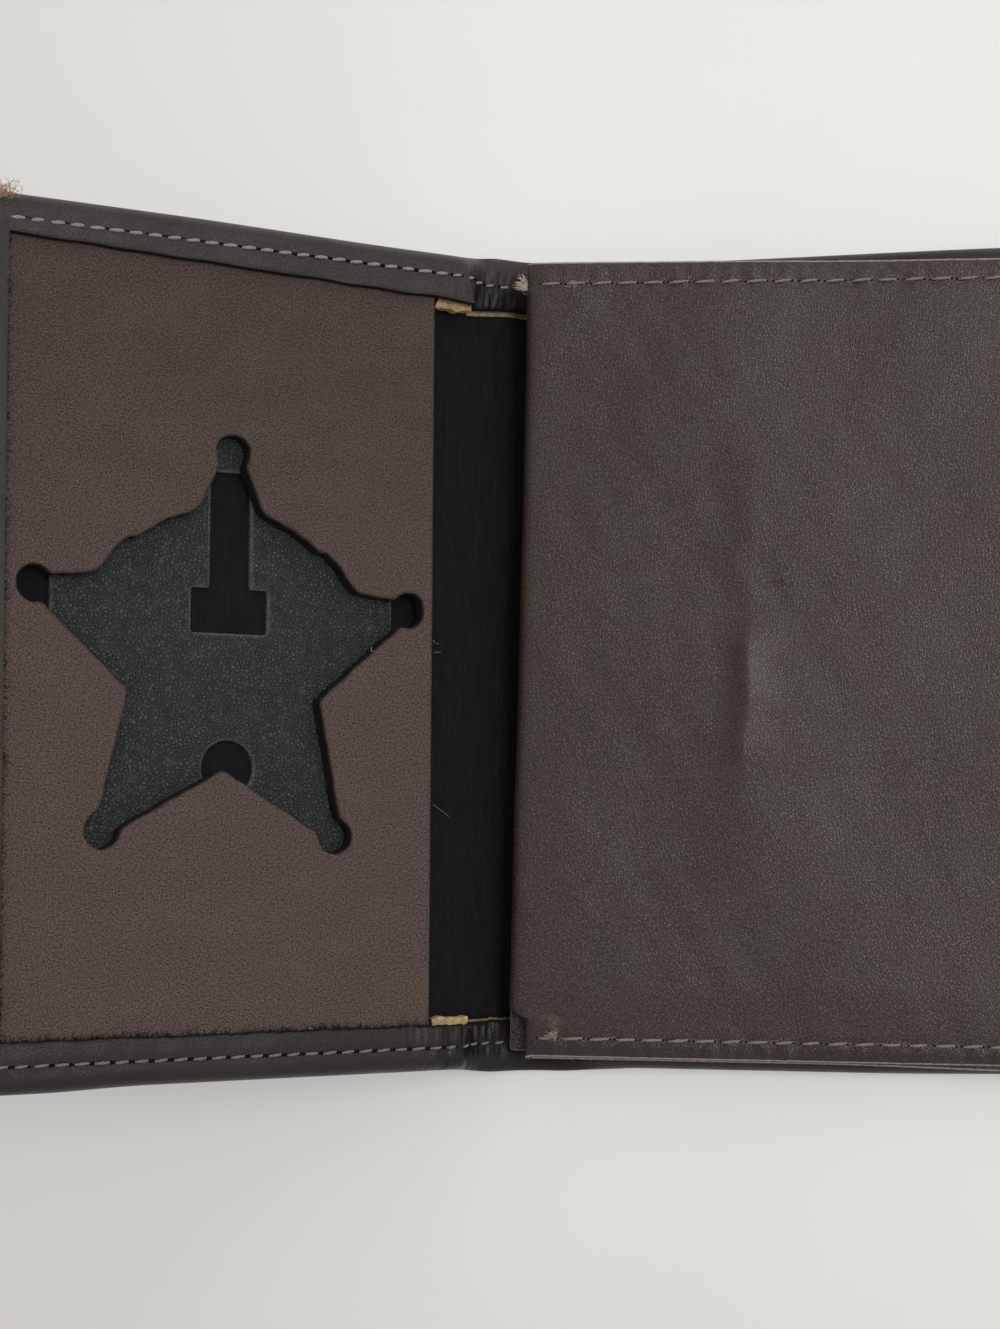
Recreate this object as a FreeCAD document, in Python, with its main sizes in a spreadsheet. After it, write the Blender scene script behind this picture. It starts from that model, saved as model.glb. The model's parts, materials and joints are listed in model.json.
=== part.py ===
import FreeCAD, Part
import math
import os
import Sketcher

# An open leather badge wallet. The ID cover lies flat, the badge cover is raised about the spine's
# fold axis, and a flap lies on the ID cover. Millimetres, +Z up, +Y along the spine. The origin is
# the middle of the flat underside of the ID cover.

doc = FreeCAD.newDocument("badge_wallet")
sheet = doc.addObject("Spreadsheet::Sheet", "sizes")

# Driving sizes: millimetres, degrees for the two angles, and shares of the star's reach
SIZES = (
    ("cover_height", 114.3),
    ("cover_width", 80.0),
    ("cover_corner", 4.0),
    ("cover_raise", 37.0),
    ("spine_half", 8.5),
    ("leather", 1.1),
    ("edge_round", 2.0),
    ("foot_round", 1.0),
    ("hem_width", 6.4),
    ("hem_outer", 5.2),
    ("hem_inner", 7.0),
    ("end_hem", 4.8),
    ("tuck_gap", 0.15),
    ("lining", 0.4),
    ("recess_floor", 0.9),
    ("recess_spacer", 1.6),
    ("face_panel", 0.9),
    ("face_step", 6.4),
    ("ear_show", 0.8),
    ("floor_step", 5.2),
    ("floor_margin", 6.1),
    ("star_shift", 0.45),
    ("star_drop", 1.9),
    ("star_turn", 1.1),
    ("star_margin", 1.12),
    ("star_ball", 2.4),
    ("point_inset", 0.1),
    ("valley_share", 0.507),
    ("banner_inner", 0.725),
    ("banner_outer", 0.7536),
    ("tee_shift", 1.3),
    ("stem_width", 5.8),
    ("stem_gap", 2.3),
    ("bar_width", 11.0),
    ("bar_top", 8.1),
    ("bar_height", 6.0),
    ("thumb_rise", 0.2),
    ("thumb_radius", 3.7),
    ("card_space", 0.8),
    ("window_sheet", 0.4),
    ("window_frame", 1.0),
    ("frame_step", 4.5),
    ("frame_gap", 0.4),
    ("pocket_border", 4.0),
    ("window_border", 8.0),
    ("leaf_gap", 0.7),
    ("flap_thickness", 3.0),
    ("flap_layer", 1.0),
    ("flap_margin", 1.85),
    ("flap_gap", 0.3),
    ("board_gap", 1.0),
    ("tab_reach", 3.2),
    ("tab_length", 10.0),
    ("tab_tall", 6.5),
    ("tab_inset", 0.6),
    ("tab_leather", 0.8),
    ("strip_tongue", 7.9),
    ("strip_clear", 2.3),
    ("strip_tuck", 0.5),
    ("strip_gap", 0.5),
    ("strip_round", 0.8),
    ("stitch_length", 2.0),
    ("stitch_pitch", 2.65),
    ("stitch_width", 0.55),
    ("stitch_rise", 0.22),
    ("stitch_inset", 3.4),
    ("end_inset", 2.4),
    ("seam_start", 11.0),
    ("flap_stitch", 2.9),
    ("flap_pitch", 3.75),
    ("flap_inset", 2.6),
    ("flap_seam_start", 2.5),
)
for row, (name, size) in enumerate(SIZES, start=1):
    sheet.set("A%d" % row, name)
    sheet.set("B%d" % row, str(size))
    sheet.setAlias("B%d" % row, name)
doc.recompute()


def value(name):
    return float(sheet.get(name))


# Heights of the layers and other places that follow from the sizes
HALF = "sizes.cover_height / 2"
INSIDE = "(sizes.cover_height / 2 - sizes.leather - sizes.tuck_gap)"
END_INSIDE = "(sizes.cover_width - sizes.leather - sizes.tuck_gap)"
LINING_LOW = "sizes.leather"
FLOOR_LOW = "(sizes.leather + sizes.lining)"
SPACER_LOW = "(sizes.leather + sizes.lining + sizes.recess_floor)"
FACE_LOW = "(sizes.leather + sizes.lining + sizes.recess_floor + sizes.recess_spacer)"
HEM_LOW = "(sizes.leather + sizes.lining + sizes.recess_floor + sizes.recess_spacer + sizes.face_panel)"
COVER_TOP = "(2 * sizes.leather + sizes.lining + sizes.recess_floor + sizes.recess_spacer + sizes.face_panel)"
FRAME_LOW = "(%s - sizes.window_frame)" % HEM_LOW
WINDOW_LOW = "(%s - sizes.window_sheet)" % FRAME_LOW
CARD_LOW = "(%s - sizes.card_space)" % WINDOW_LOW
POCKET_LOW = "(%s - sizes.lining)" % CARD_LOW
BOARD = "(%s - sizes.leather)" % POCKET_LOW
AXIS = "(%s + sizes.leaf_gap + sizes.flap_thickness / 2)" % COVER_TOP
FLAP_LOW = "(%s + sizes.leaf_gap)" % COVER_TOP
FLAP_TOP = "(%s + sizes.leaf_gap + sizes.flap_thickness)" % COVER_TOP
FLAP_HALF = "(%s - sizes.flap_margin)" % HALF
CORE = "(sizes.flap_thickness - 2 * sizes.flap_layer)"
FOLD_PLACE = "(-(sizes.spine_half + sizes.cover_width) / 2)"
FACE_EDGE = "(sizes.spine_half + sizes.face_step)"
FACE_END = "(sizes.cover_width - sizes.end_hem)"
STAR_PLACE = "((%s + %s) / 2 + sizes.star_shift)" % (FACE_EDGE, FACE_END)
STAR_REACH = "(((%s - %s) / 2 - sizes.star_margin - sizes.star_ball) / cos(18 deg))" % (FACE_END, FACE_EDGE)
STAR_VALLEY = "(%s * sizes.valley_share)" % STAR_REACH
TEE_PLACE = "(%s - sizes.tee_shift)" % STAR_PLACE
STRIP_RISE = "(%s - sizes.strip_clear)" % FACE_END
STRIP_INNER = "(%s - %s)" % (STRIP_RISE, CORE)
STRIP_TONGUE = "(%s - sizes.strip_tongue)" % STRIP_RISE
FRAME_START = "(sizes.spine_half + sizes.frame_step)"
FRAME_END = "(%s - sizes.frame_gap)" % STRIP_INNER
FLAP_END = "(%s - sizes.flap_gap)" % STRIP_INNER

# The same places as numbers, where a sketch is first drawn or an edge is picked
axis_height = (2 * value("leather") + value("lining") + value("recess_floor") + value("recess_spacer")
               + value("face_panel") + value("leaf_gap") + value("flap_thickness") / 2)
face_end = value("cover_width") - value("end_hem")
face_width = face_end - value("spine_half") - value("face_step")
star_reach = (face_width / 2 - value("star_margin") - value("star_ball")) / math.cos(math.radians(18))
strip_rise = face_end - value("strip_clear")

made = []


# Helpers that make bodies, sketches and features

def new_body(label, raised=False):
    """A body whose own x runs from the fold axis; a raised one is turned up about that axis."""
    body = doc.addObject("PartDesign::Body", label)
    body.Label = label
    body.setExpression("Placement.Base.x", FOLD_PLACE)
    if raised:
        body.Placement = FreeCAD.Placement(FreeCAD.Vector(), FreeCAD.Rotation(FreeCAD.Vector(0, 1, 0), 1))
        body.setExpression("Placement.Rotation.Angle", "sizes.cover_raise * 1 deg")
        shift = "%s - %s * sin(sizes.cover_raise * 1 deg)" % (FOLD_PLACE, AXIS)
        body.setExpression("Placement.Base.x", shift)
        body.setExpression("Placement.Base.z", "%s * (1 - cos(sizes.cover_raise * 1 deg))" % AXIS)
    made.append(body)
    return body


def new_sketch(body, name, role, offset):
    """A sketch on one of the body's origin planes, moved by offset along the plane's normal."""
    sketch = body.newObject("Sketcher::SketchObject", body.Name + "_" + name)
    plane = [part for part in body.Origin.OriginFeatures if part.Role == role][0]
    sketch.AttachmentSupport = (plane, [""])
    sketch.MapMode = "FlatFace"
    sketch.setExpression("AttachmentOffset.Base.z", offset)
    return sketch


def bind(sketch, kind, targets, expression, start=1.0):
    """One named dimension of a sketch, driven by the sheet."""
    index = sketch.addConstraint(Sketcher.Constraint(kind, *targets, start))
    name = "size_%d" % index
    sketch.renameConstraint(index, name)
    sketch.setExpression("Constraints." + name, expression)


def polygon(sketch, corners):
    """A closed outline whose corners are pairs of expressions for x and y."""
    first = sketch.GeometryCount
    count = len(corners)
    turn = 2 * math.pi / count
    for k in range(count):
        start = FreeCAD.Vector(math.cos(turn * k), math.sin(turn * k), 0)
        end = FreeCAD.Vector(math.cos(turn * (k + 1)), math.sin(turn * (k + 1)), 0)
        sketch.addGeometry(Part.LineSegment(start, end), False)
    for k in range(count):
        joint = (first + k, 2, first + (k + 1) % count, 1)
        sketch.addConstraint(Sketcher.Constraint("Coincident", *joint))
    for k, (across, along) in enumerate(corners):
        bind(sketch, "DistanceX", (-1, 1, first + k, 1), across, math.cos(turn * k))
        bind(sketch, "DistanceY", (-1, 1, first + k, 1), along, math.sin(turn * k))


def box_corners(left, right, low, high):
    return ((left, low), (right, low), (right, high), (left, high))


def circle(sketch, across, along, radius):
    centre = sketch.addGeometry(Part.Circle(FreeCAD.Vector(1, 1, 0), FreeCAD.Vector(0, 0, 1), 1), False)
    bind(sketch, "Radius", (centre,), radius)
    bind(sketch, "DistanceX", (-1, 1, centre, 3), across)
    bind(sketch, "DistanceY", (-1, 1, centre, 3), along)


def pad(body, sketch, length, name="pad"):
    feature = body.newObject("PartDesign::Pad", body.Name + "_" + name)
    feature.Profile = sketch
    feature.setExpression("Length", length)
    sketch.Visibility = False
    doc.recompute()
    return feature


def pocket(body, sketch, depth, name):
    """Cuts down from the sketch and stops the build if nothing was cut."""
    before = body.Shape.Volume
    feature = body.newObject("PartDesign::Pocket", body.Name + "_" + name)
    feature.Profile = sketch
    feature.setExpression("Length", depth)
    doc.recompute()
    if not body.Shape.Volume < before - 1e-6:
        raise RuntimeError("%s cut nothing from %s" % (name, body.Label))
    return feature


def round_edges(body, base, radius, chosen, name):
    """Rounds the edges of the last feature that the test chooses."""
    edges = base.Shape.Edges
    names = ["Edge%d" % (k + 1) for k, edge in enumerate(edges) if chosen(edge)]
    feature = body.newObject("PartDesign::Fillet", body.Name + "_" + name)
    feature.Base = (base, names)
    feature.setExpression("Radius", radius)
    doc.recompute()
    return feature


def panel(label, corners, low, thickness, raised=False):
    """A flat sheet with a straight-sided outline."""
    body = new_body(label, raised)
    outline = new_sketch(body, "outline", "XY_Plane", low)
    polygon(outline, corners)
    pad(body, outline, thickness)
    return body


# Leather covers: a tray whose edges are turned over into a hem on three sides

def leather_cover(label, side, hems, raised):
    """side is -1 for the badge cover and 1 for the ID cover; hems are expressions for the hem widths."""
    body = new_body(label, raised)
    sign = "-" if side < 0 else ""
    near = sign + "sizes.spine_half"
    far = sign + "sizes.cover_width"
    outline = new_sketch(body, "outline", "XY_Plane", "0")
    polygon(outline, ((near, "-" + HALF), (far, "-" + HALF), (far, HALF), (near, HALF)))
    block = pad(body, outline, COVER_TOP)
    end = side * value("cover_width")

    def at_end_corner(edge):
        box = edge.BoundBox
        return abs(box.XMin - end) < 1e-6 and box.XLength < 1e-6 and box.YLength < 1e-6

    block = round_edges(body, block, "sizes.cover_corner", at_end_corner, "corners")
    half = value("cover_height") / 2
    inner = value("spine_half") + 1e-3

    def on_rim(edge, height):
        box = edge.BoundBox
        level = box.ZLength < 1e-6 and abs(box.ZMin - height) < 1e-6
        outside = max(abs(box.YMin), abs(box.YMax)) > half - value("cover_corner") - 1e-3
        return level and outside and (box.XLength > 1e-3 or abs(box.XMin) > inner)

    top = block.Shape.BoundBox.ZMax
    block = round_edges(body, block, "sizes.edge_round", lambda edge: on_rim(edge, top), "rim")
    round_edges(body, block, "sizes.foot_round", lambda edge: on_rim(edge, 0.0), "foot")
    cavity = new_sketch(body, "cavity", "XY_Plane", HEM_LOW)
    wall = sign + "(sizes.cover_width - sizes.leather)"
    reach = "(%s - sizes.leather)" % HALF
    beyond = sign + "(sizes.spine_half - 1)"
    polygon(cavity, box_corners(beyond, wall, "-" + reach, reach))
    pocket(body, cavity, "%s - sizes.leather" % HEM_LOW, "inside")
    mouth = new_sketch(body, "mouth", "XY_Plane", COVER_TOP)
    lip = sign + "(sizes.cover_width - sizes.end_hem)"
    top_near, top_far, bottom = hems
    polygon(mouth, (
        (beyond, "-(%s - %s)" % (HALF, bottom)),
        (lip, "-(%s - %s)" % (HALF, bottom)),
        (lip, "%s - %s" % (HALF, top_far)),
        (beyond, "%s - %s" % (HALF, top_near)),
    ))
    pocket(body, mouth, "sizes.leather", "opening")
    return body


leather_cover("badge_cover_leather", -1, ("sizes.hem_inner", "sizes.hem_outer", "sizes.hem_width"), True)
leather_cover("id_cover_leather", 1, ("sizes.hem_width", "sizes.hem_width", "sizes.hem_width"), False)


# Badge cover: lining, floor, spacer and face, with the star-shaped recess

panel("badge_cover_lining", box_corners("-" + END_INSIDE, "-sizes.spine_half", "-" + INSIDE, INSIDE),
      LINING_LOW, "sizes.lining", True)


def star_cut(body, top, depth):
    """A five-pointed star with ball tips and a stepped banner arc across its upper half."""
    def star_sketch(name):
        sketch = new_sketch(body, name, "XY_Plane", top)
        sketch.AttachmentOffset = FreeCAD.Placement(
            FreeCAD.Vector(), FreeCAD.Rotation(FreeCAD.Vector(0, 0, 1), -1))
        sketch.setExpression("AttachmentOffset.Base.x", "-" + STAR_PLACE)
        sketch.setExpression("AttachmentOffset.Base.y", "-sizes.star_drop")
        sketch.setExpression("AttachmentOffset.Base.z", top)
        sketch.setExpression("AttachmentOffset.Rotation.Angle", "-sizes.star_turn * 1 deg")
        return sketch

    ray = star_sketch("ray")
    side = STAR_VALLEY + " * sin(36 deg)"
    rise = STAR_VALLEY + " * cos(36 deg)"
    point = STAR_REACH + " + sizes.star_ball - sizes.point_inset"
    polygon(ray, (("0", "0"), (side, rise), ("0", point), ("-" + side, rise)))
    ray_cut = pocket(body, ray, depth, "ray_cut")
    ball = star_sketch("ball")
    circle(ball, "0", STAR_REACH, "sizes.star_ball")
    ball_cut = pocket(body, ball, depth, "ball_cut")
    ring = body.newObject("PartDesign::PolarPattern", body.Name + "_star")
    ring.Originals = [ray_cut, ball_cut]
    ring.Axis = (ray, ["N_Axis"])
    ring.Angle = 360
    ring.Occurrences = 5
    body.Tip = ring
    doc.recompute()
    banner = star_sketch("banner")
    banner_outline(banner)
    pocket(body, banner, depth, "banner_cut")


def banner_outline(sketch):
    """A sector from the right ray to the left one, wider in its two outer parts than in the middle."""
    start, step = 18.0, 49.0
    inner, outer = star_reach * value("banner_inner"), star_reach * value("banner_outer")
    arcs = ((start, step, outer), (step, 180 - step, inner), (180 - step, 180 - start, outer))
    origin = FreeCAD.Vector()
    up = FreeCAD.Vector(0, 0, 1)

    def at(angle, radius):
        turn = math.radians(angle)
        return FreeCAD.Vector(radius * math.cos(turn), radius * math.sin(turn), 0)

    lines = [(origin, at(start, outer)), (at(step, outer), at(step, inner)),
             (at(180 - step, inner), at(180 - step, outer)), (at(180 - start, outer), origin)]
    order = []
    for k, line in enumerate(lines):
        order.append(sketch.addGeometry(Part.LineSegment(*line), False))
        if k < len(arcs):
            first, last, radius = arcs[k]
            curve = Part.ArcOfCircle(Part.Circle(origin, up, radius), math.radians(first), math.radians(last))
            order.append(sketch.addGeometry(curve, False))
    for k, item in enumerate(order):
        following = order[(k + 1) % len(order)]
        sketch.addConstraint(Sketcher.Constraint("Coincident", item, 2, following, 1))
    sketch.addConstraint(Sketcher.Constraint("Coincident", order[0], 1, -1, 1))
    for place, name in ((1, "banner_outer"), (3, "banner_inner"), (5, "banner_outer")):
        sketch.addConstraint(Sketcher.Constraint("Coincident", order[place], 3, -1, 1))
        radius = "%s * sizes.%s" % (STAR_REACH, name)
        bind(sketch, "Radius", (order[place],), radius, star_reach * value(name))
    for place, turn in ((0, start), (2, 180 + step), (4, 180 - step), (6, -start)):
        sketch.addConstraint(Sketcher.Constraint("Angle", order[place], math.radians(turn)))


face = panel("badge_face_panel", box_corners("-" + END_INSIDE, "-" + FACE_EDGE, "-" + INSIDE, INSIDE),
             FACE_LOW, "sizes.face_panel", True)
star_cut(face, HEM_LOW, "sizes.face_panel")

EAR_TOP = "(%s - sizes.hem_inner - sizes.ear_show)" % HALF
EAR_BOTTOM = "-(%s - sizes.hem_width - sizes.ear_show)" % HALF
spacer = panel("badge_recess_spacer", (
    ("-" + END_INSIDE, "-" + INSIDE),
    ("-sizes.spine_half", "-" + INSIDE),
    ("-sizes.spine_half", EAR_BOTTOM),
    ("-" + FACE_EDGE, EAR_BOTTOM),
    ("-" + FACE_EDGE, EAR_TOP),
    ("-sizes.spine_half", EAR_TOP),
    ("-sizes.spine_half", INSIDE),
    ("-" + END_INSIDE, INSIDE),
), SPACER_LOW, "sizes.recess_spacer", True)
star_cut(spacer, FACE_LOW, "sizes.recess_spacer")

FLOOR_FAR = "-(%s - sizes.floor_margin)" % FACE_END
FLOOR_NEAR = "-(%s + sizes.floor_step)" % FACE_EDGE
floor = panel("badge_recess_floor", box_corners(FLOOR_FAR, FLOOR_NEAR, "-" + INSIDE, INSIDE),
              FLOOR_LOW, "sizes.recess_floor", True)
slot = new_sketch(floor, "slot", "XY_Plane", SPACER_LOW)
STEM_LEFT = "-%s - sizes.stem_width / 2" % TEE_PLACE
STEM_RIGHT = "-%s + sizes.stem_width / 2" % TEE_PLACE
STEM_TOP = "%s - sizes.star_drop - sizes.stem_gap" % STAR_REACH
BAR_LEFT = "-%s - sizes.bar_width / 2" % TEE_PLACE
BAR_RIGHT = "-%s + sizes.bar_width / 2" % TEE_PLACE
BAR_LOW = "sizes.bar_top - sizes.bar_height"
polygon(slot, (
    (BAR_LEFT, BAR_LOW),
    (BAR_RIGHT, BAR_LOW),
    (BAR_RIGHT, "sizes.bar_top"),
    (STEM_RIGHT, "sizes.bar_top"),
    (STEM_RIGHT, STEM_TOP),
    (STEM_LEFT, STEM_TOP),
    (STEM_LEFT, "sizes.bar_top"),
    (BAR_LEFT, "sizes.bar_top"),
))
pocket(floor, slot, "sizes.recess_floor", "slot_cut")
thumb = new_sketch(floor, "thumb", "XY_Plane", SPACER_LOW)
THUMB_DROP = "(%s + sizes.star_drop - sizes.thumb_rise)" % STAR_VALLEY
circle(thumb, "-" + TEE_PLACE, "-" + THUMB_DROP, "sizes.thumb_radius")
pocket(floor, thumb, "sizes.recess_floor", "thumb_cut")


# ID cover: board, pocket and window

panel("id_cover_board", box_corners("sizes.spine_half", END_INSIDE, "-" + INSIDE, INSIDE), LINING_LOW, BOARD)
panel("id_pocket_lining", box_corners("sizes.spine_half", END_INSIDE, "-" + INSIDE, INSIDE),
      POCKET_LOW, "sizes.lining")
POCKET_TOP = "(%s - sizes.pocket_border)" % INSIDE
POCKET_END = "(%s - sizes.pocket_border)" % FRAME_END
panel("id_pocket_spacer", (
    (FRAME_START, "-" + INSIDE),
    (END_INSIDE, "-" + INSIDE),
    (END_INSIDE, INSIDE),
    (FRAME_START, INSIDE),
    (FRAME_START, POCKET_TOP),
    (POCKET_END, POCKET_TOP),
    (POCKET_END, "-" + POCKET_TOP),
    (FRAME_START, "-" + POCKET_TOP),
), CARD_LOW, "sizes.card_space")
panel("id_window_sheet", box_corners(FRAME_START, END_INSIDE, "-" + INSIDE, INSIDE),
      WINDOW_LOW, "sizes.window_sheet")
frame_part = panel("id_window_frame", box_corners(FRAME_START, FRAME_END, "-" + INSIDE, INSIDE),
                   FRAME_LOW, "sizes.window_frame")
window = new_sketch(frame_part, "window", "XY_Plane", HEM_LOW)
WINDOW_TOP = "(%s - sizes.hem_width - sizes.window_border)" % HALF
polygon(window, box_corners(FRAME_START + " + sizes.window_border", FRAME_END + " - sizes.window_border",
                            "-" + WINDOW_TOP, WINDOW_TOP))
pocket(frame_part, window, "sizes.window_frame", "window_cut")


# Spine: sheets that follow the fold, flat on the right, round the axis and up the badge cover

def fold_path(body):
    """The line, arc and line that a sheet of the spine follows, seen along the spine."""
    path = new_sketch(body, "path", "XZ_Plane", "0")
    lean = math.radians(value("cover_raise"))
    half = value("spine_half")
    centre = FreeCAD.Vector(0, axis_height, 0)
    low = FreeCAD.Vector(0, 0, 0)
    turned = FreeCAD.Vector(-axis_height * math.sin(lean), axis_height * (1 - math.cos(lean)), 0)
    last = FreeCAD.Vector(turned.x - half * math.cos(lean), turned.y + half * math.sin(lean), 0)
    flat = path.addGeometry(Part.LineSegment(FreeCAD.Vector(half, 0, 0), low), False)
    bottom = 1.5 * math.pi
    ring = Part.Circle(centre, FreeCAD.Vector(0, 0, 1), axis_height)
    arc = path.addGeometry(Part.ArcOfCircle(ring, bottom - lean, bottom), False)
    slope = path.addGeometry(Part.LineSegment(turned, last), False)
    path.addConstraint(Sketcher.Constraint("Coincident", flat, 2, arc, 2))
    path.addConstraint(Sketcher.Constraint("Coincident", arc, 1, slope, 1))
    path.addConstraint(Sketcher.Constraint("Horizontal", flat))
    path.addConstraint(Sketcher.Constraint("PointOnObject", arc, 3, -2))
    path.addConstraint(Sketcher.Constraint("PointOnObject", flat, 2, -2))
    bind(path, "DistanceX", (-1, 1, flat, 1), "sizes.spine_half", half)
    bind(path, "DistanceY", (-1, 1, arc, 3), AXIS, axis_height)
    bind(path, "Radius", (arc,), AXIS, axis_height)
    bind(path, "Distance", (slope,), "sizes.spine_half", half)
    bind(path, "Angle", (slope,), "(180 - sizes.cover_raise) * 1 deg", math.pi - lean)
    return path


def spine_sheet(label, corners):
    """Sweeps a section, drawn across the spine, along the fold."""
    body = new_body(label)
    section = new_sketch(body, "section", "YZ_Plane", "sizes.spine_half")
    polygon(section, corners)
    path = fold_path(body)
    doc.recompute()
    sweep = body.newObject("PartDesign::AdditivePipe", label + "_sweep")
    sweep.Profile = section
    sweep.Spine = (path, [])
    sweep.Mode = "Standard"
    doc.recompute()
    return body


SPINE_HEM_LOW = "(sizes.leather + sizes.lining)"
SPINE_HEM_TOP = "(2 * sizes.leather + sizes.lining)"
EDGE_INSIDE = "(%s - sizes.leather)" % HALF
TOP_BORDER = "(%s - sizes.hem_inner)" % HALF
LOW_BORDER = "-(%s - sizes.hem_width)" % HALF
spine_sheet("spine_leather", (
    ("-" + HALF, "0"),
    (HALF, "0"),
    (HALF, SPINE_HEM_TOP),
    (TOP_BORDER, SPINE_HEM_TOP),
    (TOP_BORDER, SPINE_HEM_LOW),
    (EDGE_INSIDE, SPINE_HEM_LOW),
    (EDGE_INSIDE, "sizes.leather"),
    ("-" + EDGE_INSIDE, "sizes.leather"),
    ("-" + EDGE_INSIDE, SPINE_HEM_LOW),
    (LOW_BORDER, SPINE_HEM_LOW),
    (LOW_BORDER, SPINE_HEM_TOP),
    ("-" + HALF, SPINE_HEM_TOP),
))
spine_sheet("spine_lining", box_corners(
    LOW_BORDER + " + sizes.ear_show", TOP_BORDER + " - sizes.ear_show", "sizes.leather", FLOOR_LOW))


# Flap: a sheet folded double round the fold axis, its board, corner tab and hinge strip

flap = new_body("flap_leather")
fold = new_sketch(flap, "fold", "XZ_Plane", "-" + FLAP_HALF)


def fold_outline(sketch):
    """Two layers joined by a half-round fold on the fold axis, open at the far end."""
    outer = value("flap_thickness") / 2
    inner = outer - value("flap_layer")
    far = strip_rise - value("flap_thickness") + 2 * value("flap_layer") - value("flap_gap")
    centre = FreeCAD.Vector(0, axis_height, 0)
    up = FreeCAD.Vector(0, 0, 1)
    left = (0.5 * math.pi, 1.5 * math.pi)

    def at(across, rise):
        return FreeCAD.Vector(across, axis_height + rise, 0)

    pieces = (
        Part.ArcOfCircle(Part.Circle(centre, up, outer), *left),
        Part.LineSegment(at(0, -outer), at(far, -outer)),
        Part.LineSegment(at(far, -outer), at(far, -inner)),
        Part.LineSegment(at(far, -inner), at(0, -inner)),
        Part.ArcOfCircle(Part.Circle(centre, up, inner), *left),
        Part.LineSegment(at(0, inner), at(far, inner)),
        Part.LineSegment(at(far, inner), at(far, outer)),
        Part.LineSegment(at(far, outer), at(0, outer)),
    )
    for piece in pieces:
        sketch.addGeometry(piece, False)
    joints = ((0, 2, 1, 1), (1, 2, 2, 1), (2, 2, 3, 1), (3, 2, 4, 2),
              (4, 1, 5, 1), (5, 2, 6, 1), (6, 2, 7, 1), (7, 2, 0, 1))
    for joint in joints:
        sketch.addConstraint(Sketcher.Constraint("Coincident", *joint))
    for level in (1, 3, 5, 7):
        sketch.addConstraint(Sketcher.Constraint("Horizontal", level))
    for arc in (0, 4):
        sketch.addConstraint(Sketcher.Constraint("PointOnObject", arc, 3, -2))
        bind(sketch, "DistanceY", (-1, 1, arc, 3), AXIS, axis_height)
        for end in (1, 2):
            sketch.addConstraint(Sketcher.Constraint("PointOnObject", arc, end, -2))
    bind(sketch, "Radius", (0,), "sizes.flap_thickness / 2", outer)
    bind(sketch, "Radius", (4,), "sizes.flap_thickness / 2 - sizes.flap_layer", inner)
    for upright in (2, 6):
        for end in (1, 2):
            bind(sketch, "DistanceX", (-1, 1, upright, end), FLAP_END, far)


fold_outline(fold)
pad(flap, fold, "2 * " + FLAP_HALF)

CORE_LOW = "(%s + sizes.flap_layer)" % FLAP_LOW
CORE_HALF = "(%s - sizes.tab_inset)" % FLAP_HALF
BOARD_END = "(%s - sizes.board_gap)" % STRIP_TONGUE
panel("flap_stiffener", box_corners("sizes.flap_layer", BOARD_END, "-" + CORE_HALF, CORE_HALF),
      CORE_LOW, CORE)
TAB_LOW = "(-%s + sizes.tab_inset)" % FLAP_HALF
panel("flap_corner_tab", box_corners("-sizes.tab_reach", "-sizes.tab_reach + sizes.tab_length",
                                     TAB_LOW, TAB_LOW + " + sizes.tab_tall"),
      "(%s - sizes.tab_leather)" % FLAP_LOW, "sizes.tab_leather")

strip = new_body("flap_hinge_strip")
STRIP_HALF = "(%s - sizes.hem_width - sizes.strip_gap)" % HALF
bend = new_sketch(strip, "bend", "XZ_Plane", "-" + STRIP_HALF)
STRIP_END = "(sizes.cover_width - sizes.leather - sizes.strip_tuck)"
CORE_TOP = "(%s + %s)" % (CORE_LOW, CORE)
polygon(bend, (
    (STRIP_TONGUE, CORE_LOW),
    (STRIP_INNER, CORE_LOW),
    (STRIP_INNER, FRAME_LOW),
    (STRIP_END, FRAME_LOW),
    (STRIP_END, HEM_LOW),
    (STRIP_RISE, HEM_LOW),
    (STRIP_RISE, CORE_TOP),
    (STRIP_TONGUE, CORE_TOP),
))
strip_pad = pad(strip, bend, "2 * " + STRIP_HALF)


def at_bend(edge):
    box = edge.BoundBox
    along = box.YLength > 1 and box.XLength < 1e-6 and box.ZLength < 1e-6
    return along and abs(box.XMin - strip_rise) < 1e-6 and box.ZMin > axis_height


round_edges(strip, strip_pad, "sizes.strip_round", at_bend, "turn")


# Seams: one short stitch, repeated along each hem

def seam(label, corners, low, along, pitch, count, raised=False):
    """A row of stitches that start at the given corners and run along H_Axis or V_Axis."""
    body = panel(label, corners, low, "sizes.stitch_rise", raised)
    first = body.Tip
    outline = first.Profile[0]
    row = body.newObject("PartDesign::LinearPattern", label + "_row")
    row.Originals = [first]
    row.Direction = (outline, [along])
    row.Mode = "Spacing"
    row.setExpression("Offset", pitch)
    row.setExpression("Occurrences", count)
    body.Tip = row
    doc.recompute()
    return body


def row_across(label, start, line, low, length, pitch, count, raised=False):
    """Stitches along x, their first one starting at start, centred on the line."""
    corners = box_corners(start, "%s + %s" % (start, length),
                          "%s - sizes.stitch_width / 2" % line, "%s + sizes.stitch_width / 2" % line)
    return seam(label, corners, low, "H_Axis", pitch, count, raised)


def row_along(label, line, start, low, count, raised=False):
    """Stitches along y on the end hem."""
    corners = box_corners("%s - sizes.stitch_width / 2" % line, "%s + sizes.stitch_width / 2" % line,
                          start, "%s + sizes.stitch_length" % start)
    return seam(label, corners, low, "V_Axis", "sizes.stitch_pitch", count, raised)


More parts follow.
